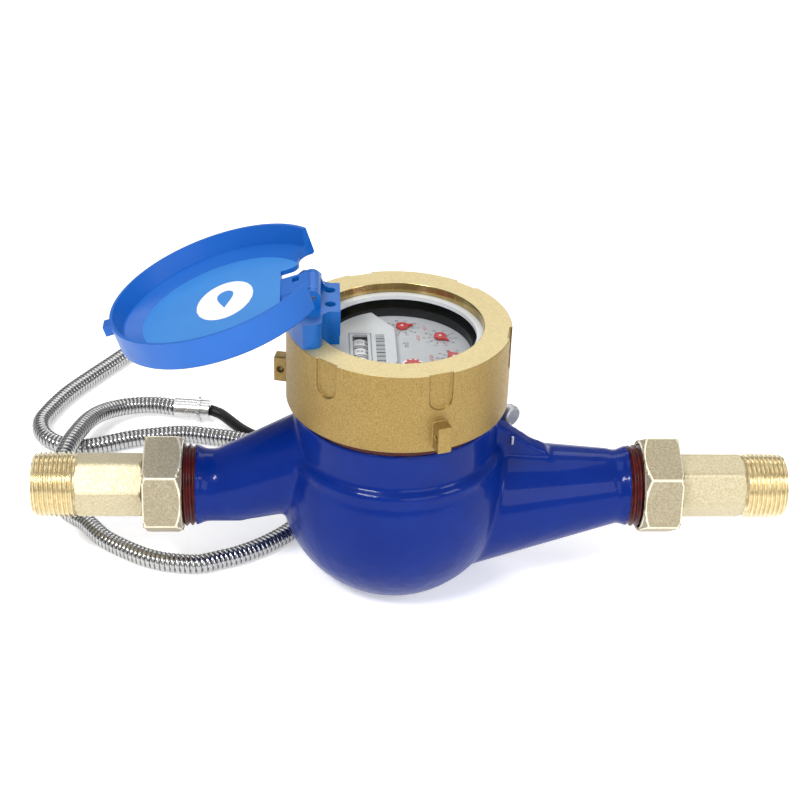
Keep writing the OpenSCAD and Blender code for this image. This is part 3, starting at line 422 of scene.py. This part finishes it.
def sweep(name, line, radius, sides, mats, seam=None):
    """A tube along line; radius and seam are functions of (length so far in metres, angle); seam, if given,
    picks the faces that take the second material, a darker steel painted as shade.
    """
    verts, faces, index = [], [], []
    normal = None
    length = 0.0
    at = []
    last = len(line) - 1
    for i, q in enumerate(line):
        t = (line[min(i + 1, last)] - line[max(i - 1, 0)]).normalized()
        if i:
            length += (q - line[i - 1]).length
        at.append(length)
        if normal is None:
            normal = t.orthogonal().normalized()
        normal = (normal - t * normal.dot(t)).normalized()
        side = t.cross(normal)
        for a in angles(sides):
            verts.append(q + (normal * math.cos(a) + side * math.sin(a)) * radius(length, a))
    for i in range(last):
        faces += band(i * sides, (i + 1) * sides, sides)
        middle = (at[i] + at[i + 1]) / 2
        index += [1 if seam and seam(middle, TURN * (k + 0.5) / sides) else 0 for k in range(sides)]
    faces.append(tuple(range(sides - 1, -1, -1)))
    faces.append(tuple(last * sides + k for k in range(sides)))
    index += [0, 0]
    return add_object(name, mesh_from(name, verts, faces, index), mats)


# Cords: the same points as in the part's source
CABLE = [(0, 52.75, 100), (0, 60, 99.2), (0, 67, 95.8), (-0.5, 72.5, 90), (-1.5, 76, 82.5), (-3, 78, 73),
         (-5, 79, 62), (-8, 79.5, 51), (-12.5, 80, 40), (-18, 81, 28), (-25, 82.5, 17.5), (-33, 84.5, 9.5),
         (-42, 87.5, 4.5), (-51, 91, 2.7), (-58.5, 95.5, 2.5), (-64, 100.5, 2.6), (-69.5, 106.5, 3.5),
         (-74, 110.5, 4.8), (-79, 112, 6)]
CONDUIT = [(-95, 114, 6), (-104, 116, 6), (-113, 115.5, 6), (-121, 111.5, 7), (-127.5, 104, 9),
           (-132, 94, 11.2), (-135, 83.5, 12.6), (-138, 73, 12.6), (-140.5, 62.5, 10.8), (-142, 51, 7.5),
           (-140, 40, 5), (-134.5, 32, 4), (-126, 24, 4), (-117, 12, 4), (-104, 2, 4), (-94, -3, 4),
           (-84, -5, 4), (-77, -5, 4), (-69, -2, 4), (-62, 1, 4), (-54, 6, 4), (-48, 11, 4), (-42, 17, 4),
           (-33, 29, 4), (-22, 40, 4), (-8, 46, 4), (10, 48, 4), (28, 46, 4), (46, 49, 4), (59, 60, 4),
           (62, 76, 4), (53, 90, 4), (36, 94, 4), (16, 88, 4), (-4, 80, 4), (-24, 75.5, 4), (-40, 77.5, 4),
           (-52, 82.5, 4), (-64, 88.5, 4), (-78, 92, 4), (-90, 94, 4), (-103, 92, 4), (-112, 90, 4),
           (-121, 86.5, 4), (-128.2, 83.7, 4), (-135, 82.5, 4), (-145, 85.2, 4), (-152.3, 92.5, 4),
           (-155, 102.5, 4), (-153, 112, 4), (-146.5, 128, 4), (-137, 144, 4), (-128, 158, 4),
           (-121, 169, 4), (-110, 183, 4), (-98, 196, 4), (-84, 207, 4), (-72, 212.5, 4), (-66, 214, 5),
           (-58, 215, 6)]
END_CABLE = [(-42, 215, 6), (-32, 215, 4), (-22, 215, 2.5), (-6, 214, 2.5), (10, 213, 2.5), (26, 213, 2.5)]
CABLE_R = 2.5 * MM
CABLE_STEP = 2.5 * MM
CABLE_SIDES = 14
CONDUIT_R = 4.0 * MM
CONDUIT_SIDES = 18
PITCH = 1.95 * MM
SEAM_DEPTH = 0.13
SEAM_HALF = 0.14


def across_strip(s, a):
    """How far a point of the conduit is across its wound strip, from 0 to 1."""
    return (s / PITCH - a / TURN) % 1.0


def conduit_radius(s, a):
    bulge = math.sin(math.pi * across_strip(s, a)) ** 0.7
    return CONDUIT_R * (1 - SEAM_DEPTH + SEAM_DEPTH * bulge)


# Painted shade: faces near the bottom of the groove between windings get the darker steel.
def conduit_seam(s, a):
    u = across_strip(s, a)
    return u < SEAM_HALF or u > 1 - SEAM_HALF


def make_cords():
    line = smooth_line(CABLE, CABLE_STEP)
    cable = sweep("reading_cable", line, lambda s, a: CABLE_R, CABLE_SIDES, [M["rubber"]])
    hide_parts("signal_cable")
    line = smooth_line(CONDUIT, PITCH / 6)
    hose = sweep("armoured_conduit", line, conduit_radius, CONDUIT_SIDES, [M["steel"], M["groove"]],
                 conduit_seam)
    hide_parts("conduit")
    line = smooth_line(END_CABLE, CABLE_STEP)
    tail = sweep("reading_cable_end", line, lambda s, a: CABLE_R, CABLE_SIDES, [M["rubber"]])
    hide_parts("end_cable")


make_cords()


# Turned shapes, in millimetres
THREAD_ROWS = 10
THREAD_ROOT, THREAD_FLANK = 0.12, 0.76
THREAD_RUN_IN, THREAD_RUN_OUT, THREAD_FADE = 1.2, 0.9, 0.45


def along_pipe(outlet, x):
    """Matrix that takes a shape drawn along +Z, in metres, to the pipe, running outwards from x."""
    turn = Matrix.Rotation(math.radians(-90 if outlet else 90), 4, "Y")
    return Matrix.Translation(Vector((-x if outlet else x, 0, AXIS_H)) * MM) @ turn


def lathe(profile, sides, closed=True):
    """Verts and faces of an outline (r, z) turned about Z; one that isn't closed has its ends on the axis."""
    verts = [polar(r, a, z) for a in angles(sides) for r, z in profile]
    n = len(profile)
    faces = []
    for k in range(sides):
        here, there = k * n, (k + 1) % sides * n
        for i in range(n if closed else n - 1):
            j = (i + 1) % n
            faces.append((here + i, there + i, there + j, here + j))
    return verts, faces


def thread(z0, z1, r0, r1, depth, pitch, inner, sides=96):
    """A threaded sleeve between z0 and z1 whose crest radius goes from r0 to r1."""
    rows = int((z1 - z0) / pitch * THREAD_ROWS)
    verts, faces = [], []
    for i in range(rows + 1):
        z = z0 + (z1 - z0) * i / rows
        crest = r0 + (r1 - r0) * i / rows
        whole = min(1.0, (z - z0) / (pitch * THREAD_RUN_IN), (z1 - z) / (pitch * THREAD_RUN_OUT))
        fade = (1 - max(0.0, whole)) * depth * THREAD_FADE
        for k, a in enumerate(angles(sides)):
            u = (z / pitch - k / sides) % 1.0
            height = min(1.0, max(0.0, (abs(u - 0.5) * 2 - THREAD_ROOT) / THREAD_FLANK))
            verts.append(polar(crest - depth * (1 - height) - fade, a, z))
    for i in range(rows):
        faces += band(i * sides, (i + 1) * sides, sides)
    low = len(verts)
    high = low + sides
    for z in (z0, z1):
        verts += [polar(inner, a, z) for a in angles(sides)]
    faces += band(low, 0, sides) + band(rows * sides, high, sides) + band(high, low, sides)
    return verts, faces


def cone_solid(p, q, r1, r2, sides=96):
    """A closed cone from p with radius r1 to q with radius r2."""
    p, q = Vector(p), Vector(q)
    t = (q - p).normalized()
    u = t.orthogonal().normalized()
    w = t.cross(u)
    verts = [(c + (u * math.cos(a) + w * math.sin(a)) * r) * MM
             for c, r in ((p, r1), (q, r2)) for a in angles(sides)]
    faces = band(0, sides, sides)
    faces.append(tuple(range(sides - 1, -1, -1)))
    faces.append(tuple(sides + k for k in range(sides)))
    return verts, faces


# Body: the casting's outer skin, with soft corners like a painted casting, in millimetres
BOWL_Z, BOWL_R, BOWL_STEPS = 40.4, 45.0, 48
SHOULDER_Z, SHOULDER_AT, SHOULDER_R, SHOULDER_STEPS = 58.2, 39.2, 3.2, 12
SHOULDER_FROM, SHOULDER_SWING = -10, 110
NECK_R, NECK_FOOT, NECK_TOP = 39.0, 62.0, 77.2
BODY_SIDES = 128
# Both stubs: the flare into the bowl, the straight pipe and the flange at its end, as (end, end, radius, radius)
STUBS = [
    ((88, 0, AXIS_H), (10, 0, 29.8), 15.0, 29.5),
    ((93, 0, AXIS_H), (80, 0, AXIS_H), 14.4, 14.4),
    ((93.2, 0, AXIS_H), (88.5, 0, AXIS_H), 16.3, 14.1),
    ((-66, 0, AXIS_H), (-30, 0, 52.3), 15.0, 20.0),
    ((-78, 0, AXIS_H), (-60, 0, AXIS_H), 14.4, 14.4),
    ((-78.2, 0, AXIS_H), (-73.5, 0, AXIS_H), 16.3, 14.1),
]
BOSS = [(36, 47), (36, 70.5), (40.5, 69.7), (53.5, 60.5), (60.5, 57.3), (60.5, 47)]
BOSS_Y = (-5, 3)
SKIN_VOXEL = 0.95
SKIN_SMOOTHING = 9


def body_profile():
    prof = [(0.0, 0.0)]
    low = math.asin(-BOWL_Z / BOWL_R)
    top = math.asin((SHOULDER_Z - BOWL_Z) / BOWL_R)
    for i in range(BOWL_STEPS + 1):
        a = low + (top - low) * i / BOWL_STEPS
        prof.append((BOWL_R * math.cos(a), BOWL_Z + BOWL_R * math.sin(a)))
    for i in range(SHOULDER_STEPS + 1):
        a = math.radians(SHOULDER_FROM + i * SHOULDER_SWING / SHOULDER_STEPS)
        prof.append((SHOULDER_AT + SHOULDER_R * math.cos(a), SHOULDER_Z + SHOULDER_R * math.sin(a)))
    return prof + [(NECK_R, NECK_FOOT), (NECK_R, NECK_TOP), (0.0, NECK_TOP)]


def seal_boss():
    verts = [Vector((x, y, z)) * MM for y in BOSS_Y for x, z in BOSS]
    n = len(BOSS)
    faces = [tuple(range(n)), tuple(range(2 * n - 1, n - 1, -1))]
    faces += [(i, n + i, n + (i + 1) % n, (i + 1) % n) for i in range(n)]
    return verts, faces


def apply_all(ob):
    """Turn the object's modifiers into its mesh."""
    dg = bpy.context.evaluated_depsgraph_get()
    me = bpy.data.meshes.new_from_object(ob.evaluated_get(dg))
    ob.modifiers.clear()
    old = ob.data
    ob.data = me
    bpy.data.meshes.remove(old)


def body_skin():
    solids = [lathe(body_profile(), BODY_SIDES, closed=False)]
    solids += [cone_solid(*stub) for stub in STUBS]
    solids.append(seal_boss())
    v, f, _ = join([(verts, faces, 0) for verts, faces in solids])
    me = bpy.data.meshes.new("body_skin")
    me.from_pydata([tuple(q) for q in v], [], f)
    bm = bmesh.new()
    bm.from_mesh(me)
    bmesh.ops.remove_doubles(bm, verts=bm.verts, dist=1e-6)
    bmesh.ops.recalc_face_normals(bm, faces=bm.faces)
    bm.to_mesh(me)
    bm.free()
    ob = add_object("body_skin", me, [M["enamel"]])
    skin = ob.modifiers.new("skin", "REMESH")
    skin.mode = "VOXEL"
    skin.voxel_size = SKIN_VOXEL * MM
    skin.use_smooth_shade = True
    soft = ob.modifiers.new("soft", "SMOOTH")
    soft.factor = 0.5
    soft.iterations = SKIN_SMOOTHING
    apply_all(ob)
    for w in ob.data.vertices:
        w.co.z = max(w.co.z, 0.0)
    ob.data.polygons.foreach_set("use_smooth", [True] * len(ob.data.polygons))
    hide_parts("body")


body_skin()

# Bare threads on the body's ends and neck, with the strip of primer below the ring
UNION_R, UNION_DEPTH, UNION_PITCH, UNION_INNER = 16.4, 1.1, 2.31, 10.0
RING_THREAD_Z = (79.5, 98.0)
RING_THREAD_R, RING_THREAD_DEPTH, RING_THREAD_PITCH = 38.2, 0.7, 2.0
PRIMER_R, PRIMER_Z = 38.3, (75.5, 80.0)
NECK_INNER = 35.0
NECK_SIDES = 160


def body_threads():
    parts = []
    for outlet, end in ((True, OUTLET_LEN), (False, INLET_LEN)):
        v, f = thread(0, END_THREAD, UNION_R, UNION_R, UNION_DEPTH, UNION_PITCH, UNION_INNER)
        m = along_pipe(outlet, end - END_THREAD)
        parts.append(([m @ q for q in v], f, 0))
    v, f = thread(*RING_THREAD_Z, RING_THREAD_R, RING_THREAD_R, RING_THREAD_DEPTH, RING_THREAD_PITCH,
                  NECK_INNER, NECK_SIDES)
    parts.append((v, f, 0))
    low, high = PRIMER_Z
    v, f = lathe([(NECK_INNER, low), (PRIMER_R, low), (PRIMER_R, high), (NECK_INNER, high)], NECK_SIDES)
    parts.append((v, f, 0))
    v, f, _ = join(parts)
    add_object("body_threads", mesh_from("body_threads", v, f), [M["primer"]])


body_threads()

# Tail pieces with cut threads, in millimetres outwards from the washer
TAIL_LEN, TAIL_BORE, TAIL_SLEEVE, TAIL_SIDES = 50.0, 9.0, 0.2, 72
COLLAR_R, COLLAR_T, COLLAR_EDGE = 15.6, 3.2, 0.3
HEX_Z, HEX_END, HEX_FLATS, HEX_SIDES = 6.7, 33.0, 22.5, 96
HEX_WORN = 0.35
# Height and how much lower the hex's corners are there
HEX_ROWS = [(HEX_Z, 1.2), (HEX_Z + 0.6, 0.35), (HEX_Z + 1.2, 0.0), (HEX_END - 1.2, 0.0),
            (HEX_END - 0.5, 0.35), (HEX_END, 1.2)]
TAIL_THREAD_R, TAIL_THREAD_END_R = 13.2, 12.7
TAIL_THREAD_DEPTH, TAIL_THREAD_PITCH, TAIL_THREAD_SIDES = 1.15, 1.814, 112
TAIL_MOUTH = [(TAIL_BORE, TAIL_LEN - 0.6), (11.2, TAIL_LEN - 0.6), (11.4, TAIL_LEN - 0.2), (11.0, TAIL_LEN),
              (TAIL_BORE + 0.4, TAIL_LEN), (TAIL_BORE, TAIL_LEN - 0.4)]


def hex_bar(turn, inner):
    """A hexagon bar with worn corners, bored out to inner and turned by some degrees."""
    corner = HEX_FLATS / math.sqrt(3) - HEX_WORN
    verts, faces = [], []
    for z, drop in HEX_ROWS:
        for a in angles(HEX_SIDES):
            w = (a - math.radians(turn) + math.pi / 6) % (math.pi / 3) - math.pi / 6
            face = HEX_FLATS / 2 / math.cos(math.pi / 6 - abs(w))
            verts.append(polar(min(face, corner - drop), a, z))
    for i in range(len(HEX_ROWS) - 1):
        faces += band(i * HEX_SIDES, (i + 1) * HEX_SIDES, HEX_SIDES)
    top = (len(HEX_ROWS) - 1) * HEX_SIDES
    low = len(verts)
    high = low + HEX_SIDES
    for z in (HEX_Z, HEX_END):
        verts += [polar(inner, a, z) for a in angles(HEX_SIDES)]
    faces += band(low, 0, HEX_SIDES) + band(top, high, HEX_SIDES) + band(high, low, HEX_SIDES)
    return verts, faces


def tail_piece(name, outlet, length, turn, node):
    inner = TAIL_BORE + TAIL_SLEEVE / 2
    flat_r = HEX_FLATS / 2
    collar = [(inner, 0), (COLLAR_R - COLLAR_EDGE, 0), (COLLAR_R, COLLAR_EDGE),
              (COLLAR_R, COLLAR_T - COLLAR_EDGE), (COLLAR_R - COLLAR_EDGE, COLLAR_T),
              (flat_r, COLLAR_T + 0.4), (flat_r, HEX_Z + 0.6), (inner, HEX_Z + 0.6)]
    sleeve = [(TAIL_BORE, 0.0), (TAIL_BORE + TAIL_SLEEVE, 0.0), (TAIL_BORE + TAIL_SLEEVE, TAIL_LEN),
              (TAIL_BORE, TAIL_LEN)]
    cut = thread(HEX_END, TAIL_LEN - 0.4, TAIL_THREAD_R, TAIL_THREAD_END_R, TAIL_THREAD_DEPTH,
                 TAIL_THREAD_PITCH, TAIL_BORE, TAIL_THREAD_SIDES)
    v, f, mats = join([(*lathe(collar, TAIL_SIDES), 0), (*hex_bar(turn, inner), 0), (*cut, 1),
                       (*lathe(sleeve, TAIL_SIDES), 1), (*lathe(TAIL_MOUTH, TAIL_SIDES), 1)])
    m = along_pipe(outlet, length + WASHER_T)
    ob = add_object(name, mesh_from(name, [m @ q for q in v], f, mats), [M["tail"], M["thread"]], False)
    ob.data.polygons.foreach_set("use_smooth", [mat == 1 for mat in mats])
    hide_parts(node)


tail_piece("outlet_tail_cut", True, OUTLET_LEN, 43, "outlet_tail")
tail_piece("inlet_tail_cut", False, INLET_LEN, 36, "inlet_tail")

# CAD nodes with rounded edges
WELD = 2e-6
SAME_PLANE = math.radians(0.5)
SHARP = math.radians(20)


def rounded(node, mats, width, angle=40, edge=-1):
    """A copy of a CAD node with its corners joined and its edges rounded, shown in the node's place."""
    cad = nodes[node]
    me = cad.data.copy()
    me.transform(cad.matrix_world)
    me.materials.clear()
    bm = bmesh.new()
    bm.from_mesh(me)
    bmesh.ops.remove_doubles(bm, verts=bm.verts, dist=WELD)
    bmesh.ops.dissolve_limit(bm, angle_limit=SAME_PLANE, verts=bm.verts, edges=bm.edges)
    bm.to_mesh(me)
    bm.free()
    split = me.attributes.get("custom_normal")
    if split:
        me.attributes.remove(split)
    me.polygons.foreach_set("material_index", [0] * len(me.polygons))
    ob = add_object(node + "_round", me, mats)
    me.set_sharp_from_angle(angle=SHARP)
    b = ob.modifiers.new("edge", "BEVEL")
    b.width = width * MM
    b.segments = 2
    b.use_clamp_overlap = False
    b.limit_method = "ANGLE"
    b.angle_limit = math.radians(angle)
    b.harden_normals = True
    b.material = edge
    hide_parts(node)
    return ob


def round_ring():
    """Cast sides, a turned top face painted paler, partly for its turned finish and partly as painted top light,
    and a bored inside painted with dark and bright streaks of reflection.
    """
    ob = rounded("cap_ring", [M["ring"], M["ring_top"], M["ring_bore"]], 0.5)
    top_from, bore_to = (RING_TOP - 0.5) * MM, 33.5 * MM
    for p in ob.data.polygons:
        c, n = p.center, p.normal
        out = Vector((c.x, c.y))
        # Faces that look up get the paler brass, partly painted top light; faces inside the bore get the brass
        # with painted reflections.
        if n.z > 0.9 and c.z > top_from:
            p.material_index = 1
        elif abs(n.z) < 0.5 and n.x * out.x + n.y * out.y < 0 and out.length < bore_to:
            p.material_index = 2


# The bevels on the nuts take the bright brass, a painted highlight along their edges.
for n in ("inlet_nut", "outlet_nut"):
    rounded(n, [M["nut"], M["edge"]], 0.6, angle=25, edge=1)
round_ring()
rounded("seal_bead", [M["lead"]], 1.0)

# CAD nodes that keep their shape, by material
DRESSED = {
    "bracket": ["hinge_bracket"],
    "white": ["slip_washer", "chamber_cover", "chamber_cup", "strainer", "impeller", "movement_plate",
              "gear_wheel_1", "gear_wheel_2", "gear_wheel_3", "gear_wheel_4"],
    "rubber": ["glass_gasket", "pressure_o_ring", "inlet_washer", "outlet_washer"],
    "dark": ["register_bezel"],
    "glass": ["glass"],
    "dial": ["dial_plate"],
    "label": ["label_plate"],
    "red": ["pointer_1", "pointer_2", "pointer_3", "pointer_4", "flow_star", "lead_wires"],
    "drum": ["number_drum_1", "number_drum_2", "number_drum_3", "number_drum_4"],
    "board": ["reader_board"],
    "magnet": ["follower_magnet", "drive_magnet"],
    "copper": ["register_housing"],
    "steel": ["lid_pin", "drum_shaft", "pivot_pin", "pressure_plate"],
    "lead": ["seal_wire"],
    "nickel": ["cable_gland", "cable_ferrule", "end_ferrule"],
}


def dress(node, *mats):
    ob = nodes[node]
    ob.data.materials.clear()
    for m in mats:
        ob.data.materials.append(m)
    return ob


def lid_opened():
    """Matrix that takes the closed lid to where it rests, folded back."""
    hinge = Vector((HINGE_X, 0, HINGE_Z)) * MM
    turn = Matrix.Rotation(math.radians(-LID_OPEN), 4, "Y")
    return Matrix.Translation(hinge) @ turn @ Matrix.Translation(-hinge)


def dress_lid():
    """Blue walls, and a floor painted paler: painted light for the light that comes through its thin plastic."""
    ob = dress("lid", M["lid"], M["lid_floor"])
    closed = lid_opened().inverted() @ ob.matrix_world
    for p in ob.data.polygons:
        down = closed.to_3x3() @ p.normal
        if down.z < -0.95 and abs((closed @ p.center).z - LID_FLOOR * MM) < 0.2 * MM:
            p.material_index = 1


for mat, names in DRESSED.items():
    for n in names:
        dress(n, M[mat])
dress_lid()

# Print on the dial, the label, the drums and the lid, in millimetres
PRINT_LIFT = 0.03
FIGURES = 10
FIGURE_STEP = 360 // FIGURES
STAR_FIELD = (0.05, 4.4)
TICK = (3.6, -0.17, 4.9, 0.17)
DIAL_FIGURE, DIAL_FIGURE_R = 1.9, 6.1
SCALE_FIGURE, SCALE_FIRST_X, SCALE_X = 2.1, 8.9, -8.4
UNIT_FIGURE, UNIT_AT = 3.2, (3.2, 4.5)
FRAME_HALF, FRAME_MARGIN, FRAME_LINE = 4.4, 1.6, 0.5
BARS = (0.5, 0.3, 0.9, 0.4, 0.3, 0.7, 0.5, 0.3, 0.9, 0.3, 0.6, 0.4, 0.3, 0.8, 0.5, 0.3, 0.7, 0.4, 0.9, 0.3,
        0.5, 0.4)
BAR_X, BAR_FIRST, BAR_GAP = (-8.6, -5.2), -15.0, 0.55
DRUM_FIGURE, DRUM_EDGE, DRUM_SIDES = 3.3, 0.5, 64
DRUM_SHOWS = (0, 0, 3, 7)
DROP_W, DROP_H, DROP_LOW, DROP_SHAPE = 4.6, 6.8, 0.8, 1.5
OVAL_W, OVAL_H, OVAL_SIDES, OVAL_Y = 11.2, 14.2, 64, 2


def glyph(text, size):
    """Corners and faces of a figure, flat and centred."""
    cu = bpy.data.curves.new("glyph", "FONT")
    cu.body = text
    cu.size = size
    cu.align_x = "CENTER"
    cu.align_y = "CENTER"
    cu.resolution_u = 3
    ob = bpy.data.objects.new("glyph", cu)
    scene.collection.objects.link(ob)
    me = bpy.data.meshes.new_from_object(ob.evaluated_get(bpy.context.evaluated_depsgraph_get()))
    verts = [v.co.copy() for v in me.vertices]
    faces = [tuple(p.vertices) for p in me.polygons]
    bpy.data.objects.remove(ob)
    bpy.data.meshes.remove(me)
    bpy.data.curves.remove(cu)
    return verts, faces


def rect(x0, y0, x1, y1):
    return [Vector((x0, y0, 0)), Vector((x1, y0, 0)), Vector((x1, y1, 0)), Vector((x0, y1, 0))], [(0, 1, 2, 3)]


def annulus(r0, r1, sides=48):
    verts = [Vector((r * math.cos(a), r * math.sin(a), 0)) for r in (r0, r1) for a in angles(sides)]
    faces = [(k, sides + k, sides + (k + 1) % sides, (k + 1) % sides) for k in range(sides)]
    return verts, faces


def put(shape, x, y, turn, z, mat):
    """A flat shape turned and moved to its place, in metres, with its material number."""
    m = Matrix.Translation(Vector((x, y, z))) @ Matrix.Rotation(math.radians(turn), 4, "Z")
    return [(m @ v) * MM for v in shape[0]], shape[1], mat


def print_piece(name, parts, mats, body="meter", move=None):
    v, f, index = join(parts)
    if move is not None:
        v = [move @ q for q in v]
    me = bpy.data.meshes.new(name)
    me.from_pydata([tuple(q) for q in v], [], f)
    me.polygons.foreach_set("material_index", index)
    add_object(name, me, mats, False, body)


def dial_print():
    z = BEZEL_Z + 0.04
    parts = [put(annulus(*STAR_FIELD), *STAR, 0, z, 1)]
    for i in range(POINTER_COUNT):
        way = math.radians(POINTER_FIRST - POINTER_STEP * i)
        x, y = POINTER_R * math.cos(way), POINTER_R * math.sin(way) + POINTER_Y
        for k in range(FIGURES):
            turn = 180 + FIGURE_STEP * k
            a = math.radians(turn)
            parts.append(put(rect(*TICK), x, y, turn, z + PRINT_LIFT, 0))
            parts.append(put(glyph(str(k), DIAL_FIGURE), x + DIAL_FIGURE_R * math.cos(a),
                             y + DIAL_FIGURE_R * math.sin(a), 90, z, 0))
        scale = glyph("x0." + "0" * i + "1", SCALE_FIGURE)
        parts.append(put(scale, x + (SCALE_X if i else SCALE_FIRST_X), y, 90, z, 2))
    parts.append(put(glyph("m3", UNIT_FIGURE), *UNIT_AT, 90, z, 0))
    print_piece("dial_print", parts, [M["ink_and_shade"], M["white_ink"], M["red"]])


def label_print():
    """A frame round the drums' window and a row of bars that stand for no code."""
    z = LABEL_TOP + PRINT_LIFT
    parts = []
    y0 = DRUM_FIRST - (DRUM_COUNT - 1) * DRUM_PITCH - DRUM_W / 2 - FRAME_MARGIN
    y1 = DRUM_FIRST + DRUM_W / 2 + FRAME_MARGIN
    x0, x1 = DRUM_X - FRAME_HALF, DRUM_X + FRAME_HALF
    for side in ((x0, y0, x0 + FRAME_LINE, y1), (x1 - FRAME_LINE, y0, x1, y1),
                 (x0, y1 - FRAME_LINE, x1, y1), (x0, y0, x1, y0 + FRAME_LINE)):
        parts.append(put(rect(*side), 0, 0, 0, z, 1))
    y = BAR_FIRST
    for w in BARS:
        parts.append(put(rect(BAR_X[0], y, BAR_X[1], y + w), 0, 0, 0, z, 0))
        y += w + BAR_GAP
    print_piece("label_print", parts, [M["ink_and_shade"], M["grey_ink"]])


def drum_print():
    """Figures 0 to 9 round each drum, and a dark line along both its edges, painted shade for the gaps between
    the drums.
    """
    figures = [glyph(str(k), DRUM_FIGURE) for k in range(FIGURES)]
    figure_r, edge_r = DRUM_R + PRINT_LIFT, DRUM_R + 0.02
    corners = 2 * DRUM_SIDES
    for i in range(DRUM_COUNT):
        yc = DRUM_FIRST - DRUM_PITCH * i
        parts = []
        for k, (verts, faces) in enumerate(figures):
            out = []
            for v in verts:
                a = math.radians(FIGURE_STEP * (k - DRUM_SHOWS[i])) + v.y / DRUM_R
                out.append(Vector((DRUM_X - figure_r * math.sin(a), yc + v.x,
                                   DRUM_Z + figure_r * math.cos(a))) * MM)
            parts.append((out, faces, 0))
        # Painted shade: a dark band on each edge of the drum, in the print's black, where the gaps between drums
        # lie in shade.
        for y in (yc - DRUM_W / 2, yc + DRUM_W / 2 - DRUM_EDGE):
            v = [Vector((DRUM_X + edge_r * math.cos(a), e, DRUM_Z + edge_r * math.sin(a))) * MM
                 for a in angles(DRUM_SIDES) for e in (y, y + DRUM_EDGE)]
            f = [(2 * k, 2 * k + 1, (2 * k + 3) % corners, (2 * k + 2) % corners) for k in range(DRUM_SIDES)]
            parts.append((v, f, 0))
        print_piece(f"drum_print_{i + 1}", parts, [M["ink_and_shade"]], f"drum_{i + 1}")


def lid_print():
    """A plain white oval with a drop left open in it, on the lid's floor."""
    drop, oval = [], []
    for a in angles(OVAL_SIDES):
        x = DROP_W * math.sin(a) * math.sin(a / 2) ** DROP_SHAPE
        drop.append(Vector((x, DROP_H * math.cos(a) - DROP_LOW, 0)))
        b = math.atan2(drop[-1].x, drop[-1].y)
        oval.append(Vector((OVAL_W * math.sin(b), OVAL_H * math.cos(b), 0)))
    parts = [put((drop + oval, band(0, OVAL_SIDES, OVAL_SIDES)), 0, 0, 0, 0, 0)]
    flip = Matrix.Rotation(math.pi, 4, "X")
    move = lid_opened() @ Matrix.Translation(Vector((0, OVAL_Y, LID_FLOOR - 0.04)) * MM) @ flip
    print_piece("lid_print", parts, [M["white_ink"]], "lid", move)


dial_print()
label_print()
drum_print()
lid_print()

# Stage: a pale floor and soft lights, in metres and watts
FLOOR_HALF = 30.0
FLOOR_GLOW = 0.4
SKY = 0.4
# Name, place, what it looks at, size and power
LIGHTS = [
    ("key", (-0.5, -0.7, 1.0), (0, 0, 0.06), (0.36, 0.22), 10),
    ("front", (0.42, -0.95, 0.6), (0.05, 0, 0.06), (0.7, 0.6), 3.4),
    ("top", (0.0, 0.2, 1.25), (0, 0, 0.06), (0.9, 0.7), 3.2),
    ("fill", (0.9, -0.5, 0.7), (0, 0, 0.06), (0.3, 0.4), 3),
    ("rim", (0.1, 0.9, 0.8), (0, 0, 0.06), (0.9, 0.3), 2.5),
]


def make_floor():
    me = bpy.data.meshes.new("floor")
    s = FLOOR_HALF
    me.from_pydata([(-s, -s, 0), (s, -s, 0), (s, s, 0), (-s, s, 0)], [], [(0, 1, 2, 3)])
    ob = bpy.data.objects.new("floor", me)
    scene.collection.objects.link(ob)
    m = Mat("pale_floor", (0.93, 0.93, 0.93), 0.9)
    m.b.inputs["Emission Color"].default_value = (1, 1, 1, 1)
    m.b.inputs["Emission Strength"].default_value = FLOOR_GLOW
    m.color(m.noise(3, 2), [(0.3, (0.92, 0.92, 0.92)), (0.7, (0.94, 0.94, 0.94))])
    me.materials.append(m.m)


def make_lights():
    world = bpy.data.worlds.new("studio")
    world.use_nodes = True
    world.node_tree.nodes["Background"].inputs["Color"].default_value = (1, 1, 1, 1)
    world.node_tree.nodes["Background"].inputs["Strength"].default_value = SKY
    scene.world = world
    for name, place, target, size, power in LIGHTS:
        lamp = bpy.data.lights.new(name, "AREA")
        lamp.shape = "RECTANGLE"
        lamp.size, lamp.size_y = size
        lamp.energy = power
        ob = bpy.data.objects.new(name, lamp)
        scene.collection.objects.link(ob)
        way = Vector(target) - Vector(place)
        ob.matrix_world = Matrix.Translation(Vector(place)) @ way.to_track_quat("-Z", "Y").to_matrix().to_4x4()
    scene.view_settings.view_transform = "Standard"


make_floor()
make_lights()
